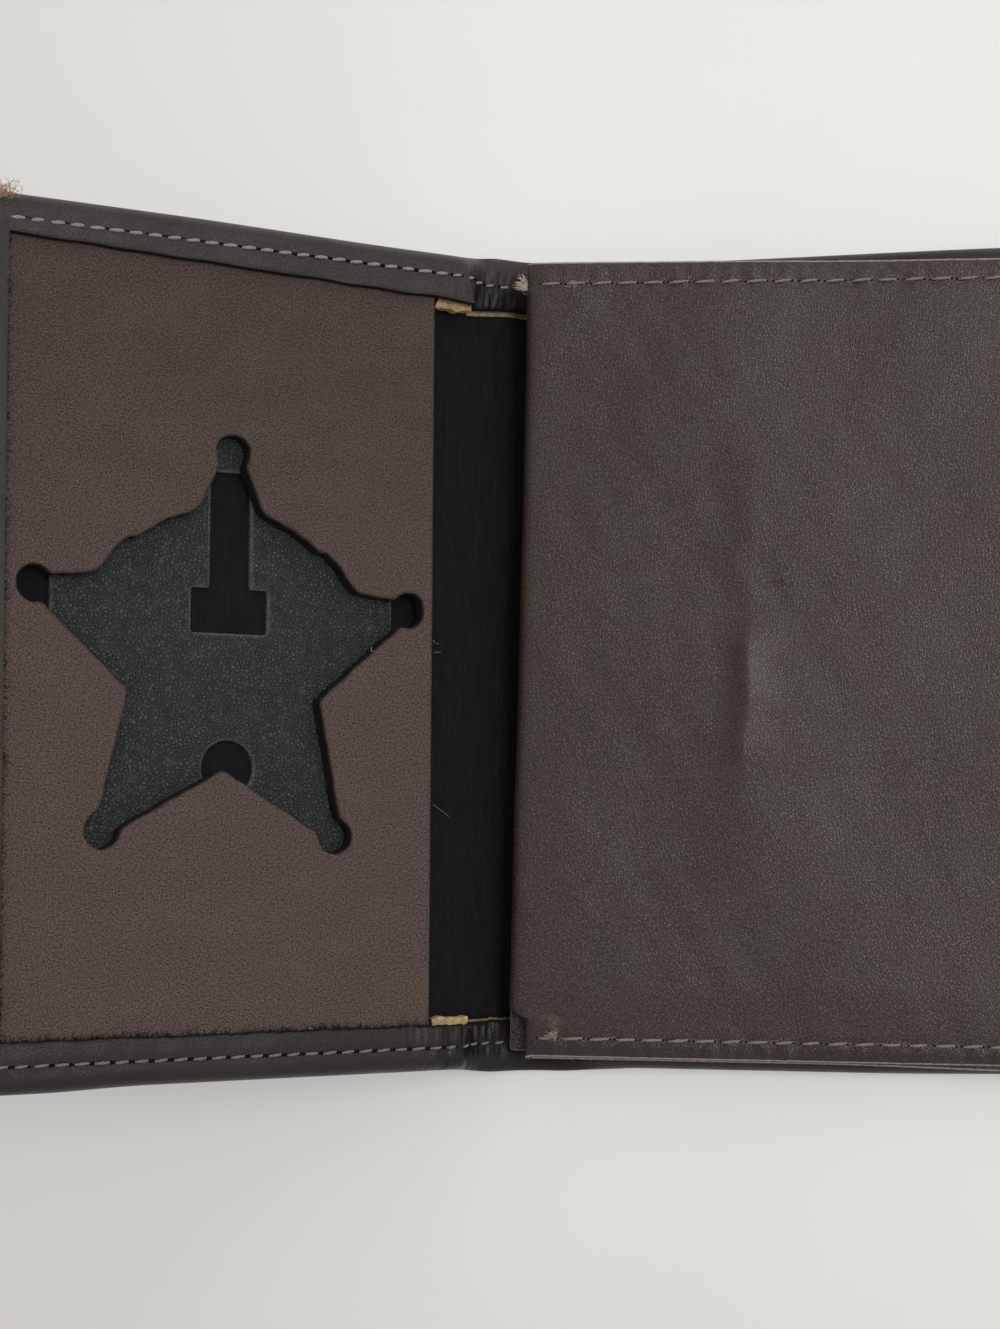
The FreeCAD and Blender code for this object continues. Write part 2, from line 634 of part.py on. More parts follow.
SEAM_LINE = "(%s - sizes.stitch_inset)" % HALF
SEAM_RUN = "(sizes.cover_width - sizes.end_hem - sizes.seam_start)"
SEAM_COUNT = "floor(%s / sizes.stitch_pitch)" % SEAM_RUN
END_RUN = "(sizes.cover_height - 2 * sizes.hem_width)"
END_COUNT = "floor(%s / sizes.stitch_pitch)" % END_RUN
END_START = "(-%s + sizes.hem_width)" % HALF
END_LINE = "(sizes.cover_width - sizes.end_inset)"
BADGE_START = "(-sizes.cover_width + sizes.end_hem)"
for place, line in (("top", SEAM_LINE), ("bottom", "-" + SEAM_LINE)):
    row_across("badge_%s_stitches" % place, BADGE_START, line, COVER_TOP,
               "sizes.stitch_length", "sizes.stitch_pitch", SEAM_COUNT, True)
    row_across("id_%s_stitches" % place, "sizes.seam_start", line, COVER_TOP,
               "sizes.stitch_length", "sizes.stitch_pitch", SEAM_COUNT)
row_along("badge_end_stitches", "-" + END_LINE, END_START, COVER_TOP, END_COUNT, True)
row_along("id_end_stitches", END_LINE, END_START, COVER_TOP, END_COUNT)
FLAP_LINE = "(%s - sizes.flap_inset)" % FLAP_HALF
FLAP_COUNT = "floor((%s - sizes.flap_seam_start) / sizes.flap_pitch)" % FLAP_END
for place, line in (("top", FLAP_LINE), ("bottom", "-" + FLAP_LINE)):
    row_across("flap_%s_stitches" % place, "sizes.flap_seam_start", line, FLAP_TOP,
               "sizes.flap_stitch", "sizes.flap_pitch", FLAP_COUNT)


# Every object is checked, then each sub-part is written under its own name

doc.recompute()
for part in doc.Objects:
    if "Invalid" in part.State or "Error" in part.State:
        raise RuntimeError("%s is %s" % (part.Label, part.State))
os.makedirs("parts", exist_ok=True)
for body in made:
    if body.Shape.isNull() or not body.Shape.isValid():
        raise RuntimeError("%s has no valid shape" % body.Label)
    body.Shape.exportStep("parts/%s.step" % body.Label)
    print(body.Label, len(body.Shape.Solids), round(body.Shape.Volume, 2))
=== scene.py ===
import json
import math

import bpy
import numpy as np
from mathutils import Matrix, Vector
from mathutils.geometry import delaunay_2d_cdt


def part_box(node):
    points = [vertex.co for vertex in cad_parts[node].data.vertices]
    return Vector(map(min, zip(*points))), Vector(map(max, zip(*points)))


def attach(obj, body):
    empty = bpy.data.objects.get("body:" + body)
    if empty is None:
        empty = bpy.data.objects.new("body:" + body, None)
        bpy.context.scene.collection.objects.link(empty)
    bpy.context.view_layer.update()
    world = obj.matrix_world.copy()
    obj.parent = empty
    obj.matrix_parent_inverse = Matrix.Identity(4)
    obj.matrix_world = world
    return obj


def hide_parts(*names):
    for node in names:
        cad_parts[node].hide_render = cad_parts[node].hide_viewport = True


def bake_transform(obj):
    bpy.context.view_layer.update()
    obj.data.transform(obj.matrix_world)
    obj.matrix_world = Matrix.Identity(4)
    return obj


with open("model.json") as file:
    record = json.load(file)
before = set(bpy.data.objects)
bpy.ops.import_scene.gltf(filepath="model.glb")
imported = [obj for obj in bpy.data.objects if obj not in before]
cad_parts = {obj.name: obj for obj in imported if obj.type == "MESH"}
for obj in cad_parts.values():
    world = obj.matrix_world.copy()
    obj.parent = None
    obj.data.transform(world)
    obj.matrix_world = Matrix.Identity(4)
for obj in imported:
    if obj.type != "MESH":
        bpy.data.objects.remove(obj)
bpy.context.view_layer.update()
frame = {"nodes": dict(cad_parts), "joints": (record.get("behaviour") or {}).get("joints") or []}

# The open badge wallet. Shapes are drawn in millimetres on the flat, unfolded wallet: x runs from the
# fold axis, y along the spine and z up from the outer leather. They are then laid over the fold.

MM = 0.001
joints = {joint["name"]: joint for joint in frame["joints"]}
FOLD_X = joints["badge_cover_fold"]["pos_m"][0] / MM
AXIS = joints["badge_cover_fold"]["pos_m"][2] / MM
LEAN = math.radians(-joints["badge_cover_fold"]["range_deg"][0])
ARC = AXIS * LEAN
HINGE_X = joints["flap_turn"]["pos_m"][0] / MM - FOLD_X


def flat_box(node):
    """The two corners of a lying node, in flat millimetres."""
    return [np.array(corner) / MM - (FOLD_X, 0.0, 0.0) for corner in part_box(node)]


(SPINE, _, _), (COVER, HALF, HEM_TOP) = flat_box("id_cover_leather")
(_, _, FLAP_LOW), (FLAP_END, FLAP_HALF, FLAP_TOP) = flat_box("flap_leather")
SPINE_HEM_TOP = 2.6
LEATHER = 1.1
LINING_TOP = 1.5
FLOOR_TOP = 2.4
SPACER_TOP = 4.0
FACE_TOP = 4.9
FACE_EDGE = 14.9
TUCK_GAP = 0.15
INSIDE = HALF - LEATHER - TUCK_GAP
END_INSIDE = COVER - LEATHER - TUCK_GAP
HEM_WIDTH = 6.4
END_HEM = 4.8
SEAM_INSET = 3.4
END_SEAM_INSET = 1.9
FLAP_LAYER = 1.0
FLAP_SEAM = FLAP_HALF - 2.6
FLAP_FIRST = 0.3
FLAP_PITCH = 3.62

# Flat places on the badge cover's side: its end, the suede's edge and the start of its thick part
LEFT_END = -(COVER + ARC)
FACE_BORDER = -FACE_EDGE - ARC
BADGE_BORDER = -SPINE - ARC


# Places and shapes

def folded(points):
    """Flat points, laid over the fold as the wallet stands open, in the row frame in metres."""
    across, along, height = np.asarray(points, float).T
    turn = np.clip(-across / AXIS, 0.0, LEAN)
    beyond = across + turn * AXIS
    radius = AXIS - height
    x = FOLD_X + beyond * np.cos(turn) - radius * np.sin(turn)
    z = AXIS - beyond * np.sin(turn) - radius * np.cos(turn)
    return columns(x, along, z) * MM


def lying(points):
    """Points of the ID cover and of the flap, which lie flat."""
    return (np.asarray(points, float) + (FOLD_X, 0.0, 0.0)) * MM


def raised(points):
    """Points of the badge cover, whose x is minus the distance from the fold axis."""
    return folded(np.asarray(points, float) - (ARC, 0.0, 0.0))


def smooth_step(value, start, end):
    share = np.clip((value - start) / (end - start), 0.0, 1.0)
    return share * share * (3.0 - 2.0 * share)


def hump(value, start, full, fade, end):
    """Rises from 0 at start to 1 at full, and sinks from there at fade to 0 at end."""
    return smooth_step(value, start, full) * (1.0 - smooth_step(value, fade, end))


def bell(value, middle, width):
    """1 at the middle, and sinking to nothing about twice the width away."""
    return np.exp(-((value - middle) / width) ** 2)


def ripple(x, y, seed, length):
    """Smooth random heights, mostly from -1 to 1, with waves about that long."""
    rng = np.random.default_rng(seed)
    total = 0.0
    waves = 9
    for _ in range(waves):
        turn = rng.uniform(0.0, 2.0 * math.pi)
        phase = rng.uniform(0.0, 2.0 * math.pi)
        number = 2.0 * math.pi / (length * rng.uniform(0.6, 1.6))
        total = total + np.sin((x * math.cos(turn) + y * math.sin(turn)) * number + phase)
    return total / math.sqrt(waves)


def full_turn(count):
    """Evenly spaced angles, once round."""
    return np.linspace(0.0, 2.0 * math.pi, count, endpoint=False)


def walked(points):
    """How far each point lies from the first, along the line through them all."""
    return np.concatenate(([0.0], np.cumsum(np.linalg.norm(np.diff(points, axis=0), axis=1))))


def columns(*parts):
    """The parts side by side as columns; a single number fills its whole column."""
    count = max(len(part) for part in parts if np.ndim(part))
    return np.column_stack([part if np.ndim(part) else np.full(count, part) for part in parts])


def stretches(*runs):
    """Evenly spaced values over several runs, each given as for np.linspace."""
    return np.concatenate([np.linspace(*run) for run in runs])


def grid_faces(rows, width, wrap=False):
    """Quads of a net of points that is stored row by row; wrap closes each row."""
    faces = []
    for row in range(rows - 1):
        for k in range(width if wrap else width - 1):
            first, second = row * width + k, row * width + (k + 1) % width
            faces.append((first, second, second + width, first + width))
    return faces


def tube_faces(rings, around):
    """Quads round a tube, and a cap at each end."""
    caps = [tuple(reversed(range(around))), tuple(range((rings - 1) * around, rings * around))]
    return grid_faces(rings, around, wrap=True) + caps


def shifted(faces, start, flip=False):
    """The same faces on points that are stored from start on; flip turns them over."""
    return [tuple(start + int(k) for k in (face[::-1] if flip else face)) for face in faces]


def slab(across, along, height, low):
    """Points and faces of a closed sheet: its upper side at height, its lower side at low, its borders."""
    count = across.size
    top = columns(across.ravel(), along.ravel(), height.ravel())
    upper = grid_faces(*across.shape)
    order = np.arange(count).reshape(across.shape)
    sides = (order[0, :-1], order[:-1, -1], order[-1, :0:-1], order[:0:-1, 0])
    border = np.concatenate(sides).tolist()
    walls = [(a + count, b + count, b, a) for a, b in zip(border, border[1:] + border[:1])]
    points = np.vstack((top, columns(top[:, :2], low)))
    return points, upper + shifted(upper, count, flip=True) + walls


def new_mesh(name, points, faces, flat, materials, choice=None, wear_and_painted_light=None):
    """A mesh in the row frame; flat is each point's place on the material in millimetres."""
    mesh = bpy.data.meshes.new(name)
    mesh.from_pydata([tuple(point) for point in points], [], faces)
    for material in materials:
        mesh.materials.append(material)
    mesh.polygons.foreach_set("use_smooth", [True] * len(mesh.polygons))
    if choice is not None:
        mesh.polygons.foreach_set("material_index", list(choice))
    corners = np.zeros(len(mesh.loops), int)
    mesh.loops.foreach_get("vertex_index", corners)
    layer = mesh.uv_layers.new(name="flat")
    layer.data.foreach_set("uv", np.asarray(flat, float)[corners].ravel())
    if wear_and_painted_light is not None:
        attribute = mesh.attributes.new("wear_and_painted_light", "FLOAT", "POINT")
        attribute.data.foreach_set("value", np.asarray(wear_and_painted_light, np.float32))
    mesh.update()
    piece = bpy.data.objects.new(name, mesh)
    bpy.context.scene.collection.objects.link(piece)
    return piece


def bends_with_cover(piece):
    """Bakes the piece's place into its points; where its stretch across the fold would meet the two covers
    is worked out but not used.
    """
    reach = SPINE - 2.0
    start, end = folded([(reach, 0.0, 0.0), (-reach - ARC, 0.0, 0.0)])
    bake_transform(piece)


# Paint: small helpers for shader nodes

def tint(red, green, blue):
    """A colour seen on a screen, 0 to 255, as the shader's linear colour."""
    linear = []
    for part in (red, green, blue):
        share = part / 255.0
        linear.append(share / 12.92 if share <= 0.04045 else ((share + 0.055) / 1.055) ** 2.4)
    return (*linear, 1.0)


def put(tree, socket, value):
    """Gives a socket a value, or links it to another node's output."""
    if isinstance(value, bpy.types.NodeSocket):
        tree.links.new(value, socket)
    else:
        socket.default_value = value


def add_node(tree, kind, output, inputs, **settings):
    """Makes a node and gives its output of that name or number."""
    made = tree.nodes.new("ShaderNode" + kind)
    for name, value in settings.items():
        setattr(made, name, value)
    for name, value in inputs.items():
        put(tree, made.inputs[name], value)
    return made.outputs[output]


class Paint:
    """One material and the nodes that it is mixed from."""

    def __init__(self, name, on_cad_node=False):
        self.material = bpy.data.materials.new(name)
        self.material.use_nodes = True
        self.tree = self.material.node_tree
        self.tree.nodes.clear()
        self.surface = self.tree.nodes.new("ShaderNodeBsdfPrincipled")
        self.output = self.tree.nodes.new("ShaderNodeOutputMaterial")
        self.tree.links.new(self.surface.outputs["BSDF"], self.output.inputs["Surface"])
        self.place = self.node("TexCoord", "Object" if on_cad_node else "UV", {})
        if on_cad_node:
            self.place = self.node("VectorMath", "Vector", {0: self.place, "Scale": 1.0 / MM},
                                   operation="SCALE")

    def node(self, kind, output, inputs, **settings):
        return add_node(self.tree, kind, output, inputs, **settings)

    def noise(self, size, detail=3.0, roughness=0.55, place=None):
        """Cloudy values from 0 to 1, with patches about size millimetres across."""
        return self.node("TexNoise", "Fac", {
            "Vector": place or self.place, "Scale": 1.0 / size, "Detail": detail, "Roughness": roughness})

    def pebbles(self, size):
        """Cell pattern of leather grain: high in each cell and low along the creases."""
        inside = self.node("TexVoronoi", "Distance", {"Vector": self.place, "Scale": 1.0 / size},
                           feature="DISTANCE_TO_EDGE")
        return self.remap(inside, 0.0, 0.28, 0.0, 1.0)

    def waves(self, scale, distortion, direction, detail=2.0):
        return self.node("TexWave", "Fac", {
            "Vector": self.place, "Scale": scale, "Distortion": distortion, "Detail": detail},
            bands_direction=direction)

    def stretched(self, x, y):
        return self.node("VectorMath", "Vector", {0: self.place, 1: (x, y, 1.0)}, operation="MULTIPLY")

    def remap(self, value, low, high, new_low, new_high):
        return self.node("MapRange", "Result", {
            "Value": value, "From Min": low, "From Max": high, "To Min": new_low, "To Max": new_high})

    def sum(self, first, second, share=1.0):
        """first plus share times second."""
        return self.node("Math", "Value", {0: second, 1: share, 2: first}, operation="MULTIPLY_ADD")

    def product(self, first, second):
        return self.node("Math", "Value", {0: first, 1: second}, operation="MULTIPLY")

    def blend(self, share, first, second):
        """Mixes two colours, which a mix node takes at its inputs 6 and 7 and gives at its output 2."""
        return self.node("Mix", 2, {0: share, 6: first, 7: second}, data_type="RGBA")

    def tinge(self, colour, other, value, low, high, most=1.0):
        """Mixes another colour in: none of it where value is low, and the share most where it is high."""
        return self.blend(self.remap(value, low, high, 0.0, most), colour, other)

    def wear_and_painted_light(self):
        return self.node("Attribute", "Fac", {}, attribute_name="wear_and_painted_light")

    def bump(self, height, depth):
        """Raises the surface by height, 0 to 1, times depth in millimetres."""
        normal = self.node("Bump", "Normal", {"Height": height, "Distance": depth * MM, "Strength": 1.0})
        put(self.tree, self.surface.inputs["Normal"], normal)

    def finish(self, colour, roughness, shine=0.5, sheen=0.0):
        values = {"Base Color": colour, "Roughness": roughness,
                  "Specular IOR Level": shine, "Sheen Weight": sheen}
        for name, value in values.items():
            put(self.tree, self.surface.inputs[name], value)
        return self.material


# Materials

def grained_leather(name, dark, light, worn_and_painted_light, grain, depth, dull, shiny, shine):
    """Smooth leather: pebble grain, creases and cloudy colour. Wear makes it paler, and on some crests and
    rims that is a painted highlight; minus wear makes it darker, which is painted shade.
    """
    paint = Paint(name)
    cells = paint.pebbles(grain)
    creases = paint.noise(1.6, 5.0, 0.7, paint.stretched(0.55, 1.7))
    wrinkles = paint.noise(0.75, 3.0, 0.6, paint.stretched(0.4, 1.5))
    clouds = paint.noise(11.0, 3.0)
    colour = paint.tinge(dark, light, clouds, 0.3, 0.7)
    colour = paint.blend(paint.remap(cells, 0.0, 1.0, 0.45, 0.0), colour, tint(8, 7, 7))
    colour = paint.tinge(colour, worn_and_painted_light, paint.noise(0.28, 3.0), 0.5, 0.72, 0.3)
    # Paler where rubbed, and a painted highlight on the crests and rims that carry positive wear.
    colour = paint.blend(paint.product(paint.wear_and_painted_light(), paint.noise(0.6, 4.0)), colour, worn_and_painted_light)
    # Painted shade: minus wear darkens the leather towards near black.
    colour = paint.tinge(colour, tint(15, 12, 12), paint.wear_and_painted_light(), 0.0, -1.0, 0.9)
    height = paint.sum(cells, creases, 1.4)
    height = paint.sum(height, wrinkles, 1.5)
    paint.bump(height, depth)
    roughness = paint.remap(paint.noise(4.0, 4.0), 0.3, 0.7, shiny, dull)
    return paint.finish(colour, roughness, shine)


def suede_paint():
    """Napped brown suede: short soft fibres, specks and brushed patches; painted shade darkens it towards
    the top.
    """
    paint = Paint("suede_nap")
    nap = paint.noise(0.22, 4.0, 0.75)
    brushed = paint.noise(5.0, 5.0, 0.6, paint.stretched(0.55, 1.0))
    colour = paint.tinge(tint(57, 49, 46), tint(71, 61, 57), brushed, 0.25, 0.75)
    colour = paint.tinge(colour, tint(122, 104, 97), nap, 0.42, 0.7, 0.9)
    colour = paint.tinge(colour, tint(32, 27, 25), paint.noise(0.25, 2.0), 0.5, 0.68, 0.8)
    # Painted shade, deepening towards the top.
    upward = paint.node("SeparateXYZ", "Y", {"Vector": paint.place})
    colour = paint.tinge(colour, tint(30, 26, 25), upward, 5.0, 40.0, 0.2)
    colour = paint.blend(paint.product(paint.wear_and_painted_light(), 0.9), colour, tint(20, 17, 16))
    paint.bump(paint.sum(nap, brushed, 0.3), 0.22)
    return paint.finish(colour, 0.95, 0.1, 0.03)


def leatherette_paint():
    """Cool black grained panel in the recess, with a painted highlight on its rounded rims."""
    paint = Paint("recess_grain")
    cells = paint.pebbles(0.5)
    clouds = paint.noise(7.0, 4.0)
    colour = paint.blend(clouds, tint(41, 44, 44), tint(52, 55, 54))
    colour = paint.blend(paint.remap(cells, 0.0, 1.0, 0.5, 0.0), colour, tint(10, 11, 11))
    colour = paint.tinge(colour, tint(84, 87, 86), paint.noise(0.22, 3.0), 0.5, 0.75, 0.3)
    # Painted highlight: the rounded rims that carry wear are paler.
    colour = paint.blend(paint.product(paint.wear_and_painted_light(), 0.75), colour, tint(98, 100, 99))
    paint.bump(paint.sum(cells, paint.noise(0.3, 3.0), 0.7), 0.17)
    return paint.finish(colour, paint.remap(clouds, 0.3, 0.7, 0.36, 0.5), 0.28)


def weave_paint():
    """Plain woven black cloth: warp and weft ridges with uneven threads."""
    paint = Paint("black_weave")
    warp = paint.waves(1.15, 1.6, "X", 3.0)
    weft = paint.waves(0.95, 1.6, "Y", 3.0)
    threads = paint.sum(warp, weft)
    slubs = paint.noise(0.7, 3.0, 0.6, paint.stretched(1.0, 0.12))
    share = paint.product(paint.remap(threads, 0.3, 1.7, 0.3, 1.0), paint.remap(slubs, 0.3, 0.7, 0.55, 1.0))
    colour = paint.blend(share, tint(5, 5, 6), tint(33, 33, 37))
    colour = paint.tinge(colour, tint(60, 60, 64), paint.noise(0.25, 2.0), 0.7, 0.8, 0.5)
    paint.bump(paint.sum(threads, slubs, 0.6), 0.07)
    return paint.finish(colour, 0.95, 0.1)


def raw_edge_paint(name, dark, light, size):
    """Cut or split leather: loose fibres in two shades."""
    paint = Paint(name)
    fibres = paint.noise(size, 5.0, 0.7, paint.stretched(0.5, 1.0))
    specks = paint.noise(size * 0.4, 3.0, 0.7)
    colour = paint.tinge(dark, light, fibres, 0.3, 0.7)
    colour = paint.tinge(colour, dark, specks, 0.5, 0.75, 0.7)
    paint.bump(paint.sum(fibres, specks), 0.12)
    return paint.finish(colour, 0.95, 0.15)


def thread_paint(name, dark, light):
    """Twisted sewing thread."""
    paint = Paint(name)
    ply = paint.waves(0.75, 0.4, "DIAGONAL")
    fuzz = paint.noise(0.12, 3.0)
    colour = paint.blend(paint.product(ply, paint.remap(fuzz, 0.3, 0.7, 0.5, 1.0)), dark, light)
    paint.bump(paint.sum(ply, fuzz, 0.6), 0.05)
    return paint.finish(colour, 0.8, 0.3, 0.2)


def mottled_paint(name, dark, light, size=0.8, shine=0.2):
    """Two shades in soft patches: loose fibres, and the shadow in needle holes."""
    paint = Paint(name)
    colour = paint.blend(paint.noise(size, 2.0), dark, light)
    return paint.finish(colour, 0.9, shine)


def board_paint(name, dark, light):
    """Pressed fibre board, on a part that comes from the frame as it is."""
    paint = Paint(name, on_cad_node=True)
    fibres = paint.noise(0.5, 5.0, 0.7)
    colour = paint.tinge(dark, light, fibres, 0.3, 0.7)
    colour = paint.tinge(colour, dark, paint.noise(0.2, 2.0), 0.62, 0.75, 0.5)
    paint.bump(fibres, 0.05)
    return paint.finish(colour, 0.9, 0.2)


def clear_paint():
    """Clear vinyl with faint haze and slight waviness."""
    paint = Paint("clear_vinyl", on_cad_node=True)
    waves = paint.noise(9.0, 2.0)
    haze = paint.noise(0.8, 4.0)
    paint.bump(waves, 0.5)
    clear = paint.remap(haze, 0.3, 0.8, 1.0, 0.9)
    put(paint.tree, paint.surface.inputs["Transmission Weight"], clear)
    put(paint.tree, paint.surface.inputs["IOR"], 1.3)
    colour = paint.blend(haze, (0.94, 0.95, 0.95, 1.0), (0.9, 0.92, 0.93, 1.0))
    return paint.finish(colour, paint.remap(haze, 0.3, 0.7, 0.03, 0.1), 0.5)


black_leather = grained_leather("black_leather", tint(45, 40, 39), tint(57, 51, 50), tint(92, 85, 82),
                                grain=0.36, depth=0.02, dull=0.44, shiny=0.32, shine=0.2)
brown_leather = grained_leather("brown_leather", tint(52, 37, 34), tint(54, 45, 38), tint(124, 106, 100),
                                grain=0.42, depth=0.03, dull=0.45, shiny=0.36, shine=0.4)
# Its pale worn colour also paints a highlight on the corner tab's rounded rims.
tab_leather = grained_leather("tab_leather", tint(19, 16, 15), tint(32, 28, 26), tint(150, 136, 126),
                              grain=0.36, depth=0.05, dull=0.56, shiny=0.44, shine=0.3)
suede = suede_paint()
recess_grain = leatherette_paint()
black_weave = weave_paint()
tan_edge = raw_edge_paint("tan_edge", tint(120, 96, 66), tint(194, 168, 130), size=0.5)
flesh_edge = raw_edge_paint("flesh_edge", tint(100, 88, 70), tint(168, 150, 124), size=0.5)
dark_edge = raw_edge_paint("dark_edge", tint(12, 10, 10), tint(34, 30, 29), size=0.3)
grey_edge = raw_edge_paint("grey_edge", tint(54, 56, 56), tint(94, 96, 95), size=0.3)
pale_cut = raw_edge_paint("pale_cut", tint(106, 97, 92), tint(164, 153, 146), size=0.4)
hem_thread = thread_paint("hem_thread", tint(82, 76, 79), tint(168, 160, 164))
# A darker copy of the hem thread for the lower seams: painted shade.
shaded_hem_thread = thread_paint("shaded_hem_thread", tint(58, 54, 56), tint(138, 131, 134))
flap_thread = thread_paint("flap_thread", tint(88, 72, 70), tint(160, 140, 138))
black_fibre = mottled_paint("black_fibre", tint(10, 9, 9), tint(30, 27, 26))
pale_fibre = mottled_paint("pale_fibre", tint(186, 168, 154), tint(238, 226, 212))
flap_fibre = mottled_paint("flap_fibre", tint(108, 92, 88), tint(180, 162, 156))
pink_fibre = mottled_paint("pink_fibre", tint(150, 112, 100), tint(196, 164, 150))
needle_hole_shade = mottled_paint("needle_hole_shade", tint(6, 5, 5), tint(16, 14, 14), size=0.1, shine=0.1)
grey_board = board_paint("grey_board", tint(92, 88, 82), tint(138, 132, 124))
brown_board = board_paint("brown_board", tint(84, 64, 44), tint(132, 104, 74))
clear_vinyl = clear_paint()


# Outer leather: one sheet with turned hems, from the badge cover over the spine to the ID cover

# The leather is gathered between these places, and has this many points before, in and after them
GATHER_START, GATHER_END = -27.0, 14.0
LEFT_STEPS, GATHER_STEPS, RIGHT_STEPS = 80, 210, 90
LONG = LEFT_STEPS + GATHER_STEPS + RIGHT_STEPS
SHORT = 120
BEND = 8
CORNER = 4.0
LEAST_CORNER = 0.3
LEFT_HEM = 4.0
LEFT_TAPER = 0.5

# Upper hem's width at the badge cover's end, at its border with the spine, at the fold and at the ID cover
TOP_HEM_END, TOP_HEM_BADGE, TOP_HEM_FOLD, TOP_HEM_ID = 5.2, 7.0, 6.6, 6.0

# Half the length over which a hem's top steps down to the spine: at its border and at its outer roll
CRISP_STEP, SOFT_STEP = 0.7, 3.2
HEM_ROLL = 2.2
UNDER_INSET = 3.2
GROOVE_DEPTH, GROOVE_WIDTH = 0.16, 0.7

# Rows of points over the hem's top and round its roll, and a row near the seam to measure its length on
TOP_ROWS, ROLL_ROWS = 15, 12
SEAM_ROW = 12

# Painted shade: how dark the lower hem is at least
LOWER_SHADE = 0.5

# A hem's inner border, from below: distance inside the border, depth below the top, and wear
BORDER_ROWS = ((0.0, 1.08, 0.0), (0.05, 0.55, 0.0), (-0.1, 0.1, 0.35))


def hem_height(across, soft):
    """The hems stand high on the thick covers and step down on the spine, over twice the soft length."""
    badge_side = smooth_step(-across, -BADGE_BORDER - soft, -BADGE_BORDER + soft)
    id_side = smooth_step(across, SPINE - soft, SPINE + soft)
    return SPINE_HEM_TOP + (HEM_TOP - SPINE_HEM_TOP) * (badge_side + id_side)


def spine_bulge(across):
    """How far the gathered leather stands out beyond the straight edge at the spine."""
    return hump(across, BADGE_BORDER - 3.0, -8.0, 2.0, SPINE + 6.0)


def shell_rise(across):
    """How far the upper edge stands out beyond straight, away from the spine."""
    return 0.35 * smooth_step(-across, 25.0, 60.0) + 0.9 * smooth_step(across, 12.0, 72.0)


def shell_sag(across):
    """How far the lower edge stands out beyond straight: out at the badge cover's end, in at the other."""
    return 0.4 * smooth_step(-across, 60.0, 76.0) - 0.35 * smooth_step(across, 45.0, 74.0)


def gathers(across, along):
    """How strongly the leather is gathered: most at the spine, and further out along the lower edge."""
    badge_side = np.where(along > 0.0, 0.65 * bell(across, -11.0, 6.5), bell(across, -14.0, 8.5))
    return badge_side + 0.8 * bell(across, 7.0, 6.0)


def gather_folds(across, along):
    """Small upright folds where the leather is gathered."""
    wide = 0.18 * ripple(across, along * 0.25, 6, 3.2)
    middle = 0.12 * ripple(across, along * 0.2, 9, 1.5)
    fine = 0.06 * ripple(across, along * 0.15, 10, 0.8)
    return gathers(across, along) * (wide + middle + fine)


def hem_waves(across, along):
    """Unevenness of the hems' tops."""
    return gather_folds(across, along) + 0.05 * ripple(across, along, 5, 6.0)


def spine_shade(across, along, inset):
    """Painted shade on the gathered hems: the upper one inside its seam, the lower one all over."""
    inside = smooth_step(inset, SEAM_INSET - 0.3, SEAM_INSET + 0.5)
    upper = smooth_step(across, BADGE_BORDER - 0.2, BADGE_BORDER + 0.4) * (0.2 + 0.75 * inside)
    lower = 0.95 * smooth_step(across, FACE_BORDER - 2.5 * (1.0 - inside), FACE_BORDER + 1.2)
    return np.where(along > 0.0, upper, lower) * (1.0 - smooth_step(across, 2.0, SPINE))


def top_hem(across):
    """Width of the upper hem: wide at the spine, narrow at the badge cover's end."""
    taper = np.interp(across, (LEFT_END, BADGE_BORDER, 0.0, SPINE),
                      (TOP_HEM_END, TOP_HEM_BADGE, TOP_HEM_FOLD, TOP_HEM_ID))
    return taper + 0.12 * ripple(across, 0.0, 3, 9.0)


def low_hem(across):
    """Width of the lower hem, whose border is a little frayed."""
    return HEM_WIDTH + 0.07 * ripple(across, 0.0, 4, 9.0) + 0.08 * ripple(across, 0.0, 8, 1.3)


def left_hem(along):
    """Width of the badge cover's end hem: a little narrower towards the top."""
    return LEFT_HEM - LEFT_TAPER * along / HALF


def hem_loop(fixed, share):
    """Flat x and y of one loop round the leather, at fixed plus share times the hem width from its edge."""
    radius = max(CORNER - fixed - share * END_HEM, LEAST_CORNER)
    left = LEFT_END + fixed + share * LEFT_HEM
    right = COVER - fixed - share * END_HEM
    across = stretches((left + radius, GATHER_START, LEFT_STEPS, False),
                       (GATHER_START, GATHER_END, GATHER_STEPS, False),
                       (GATHER_END, right - radius, RIGHT_STEPS))
    low_out = 0.8 * spine_bulge(across) + shell_sag(across)
    top_out = spine_bulge(across) + shell_rise(across)
    low = -HALF + fixed + share * low_hem(across) - (1.0 - share) * low_out
    top = HALF - fixed - share * top_hem(across) + (1.0 - share) * top_out
    turns = np.linspace(0.0, 0.5 * math.pi, BEND + 2)[1:-1]

    def corner(x, y, first):
        return columns(x + radius * np.cos(first + turns), y + radius * np.sin(first + turns))

    def upright(x, y_first, y_last):
        return columns(x, np.linspace(y_first, y_last, SHORT))

    loop = np.vstack((
        columns(across, low),
        corner(right - radius, low[-1] + radius, -0.5 * math.pi),
        upright(right, low[-1] + radius, top[-1] - radius),
        corner(right - radius, top[-1] - radius, 0.0),
        columns(across, top)[::-1],
        corner(left + radius, top[0] - radius, 0.5 * math.pi),
        upright(left, top[0] - radius, low[0] + radius),
        corner(left + radius, low[0] + radius, math.pi),
    ))
    near_end = smooth_step(-loop[:, 0], -LEFT_END - 12.0, -LEFT_END - 4.0)
    loop[:, 0] -= share * LEFT_TAPER * loop[:, 1] / HALF * near_end
    return loop


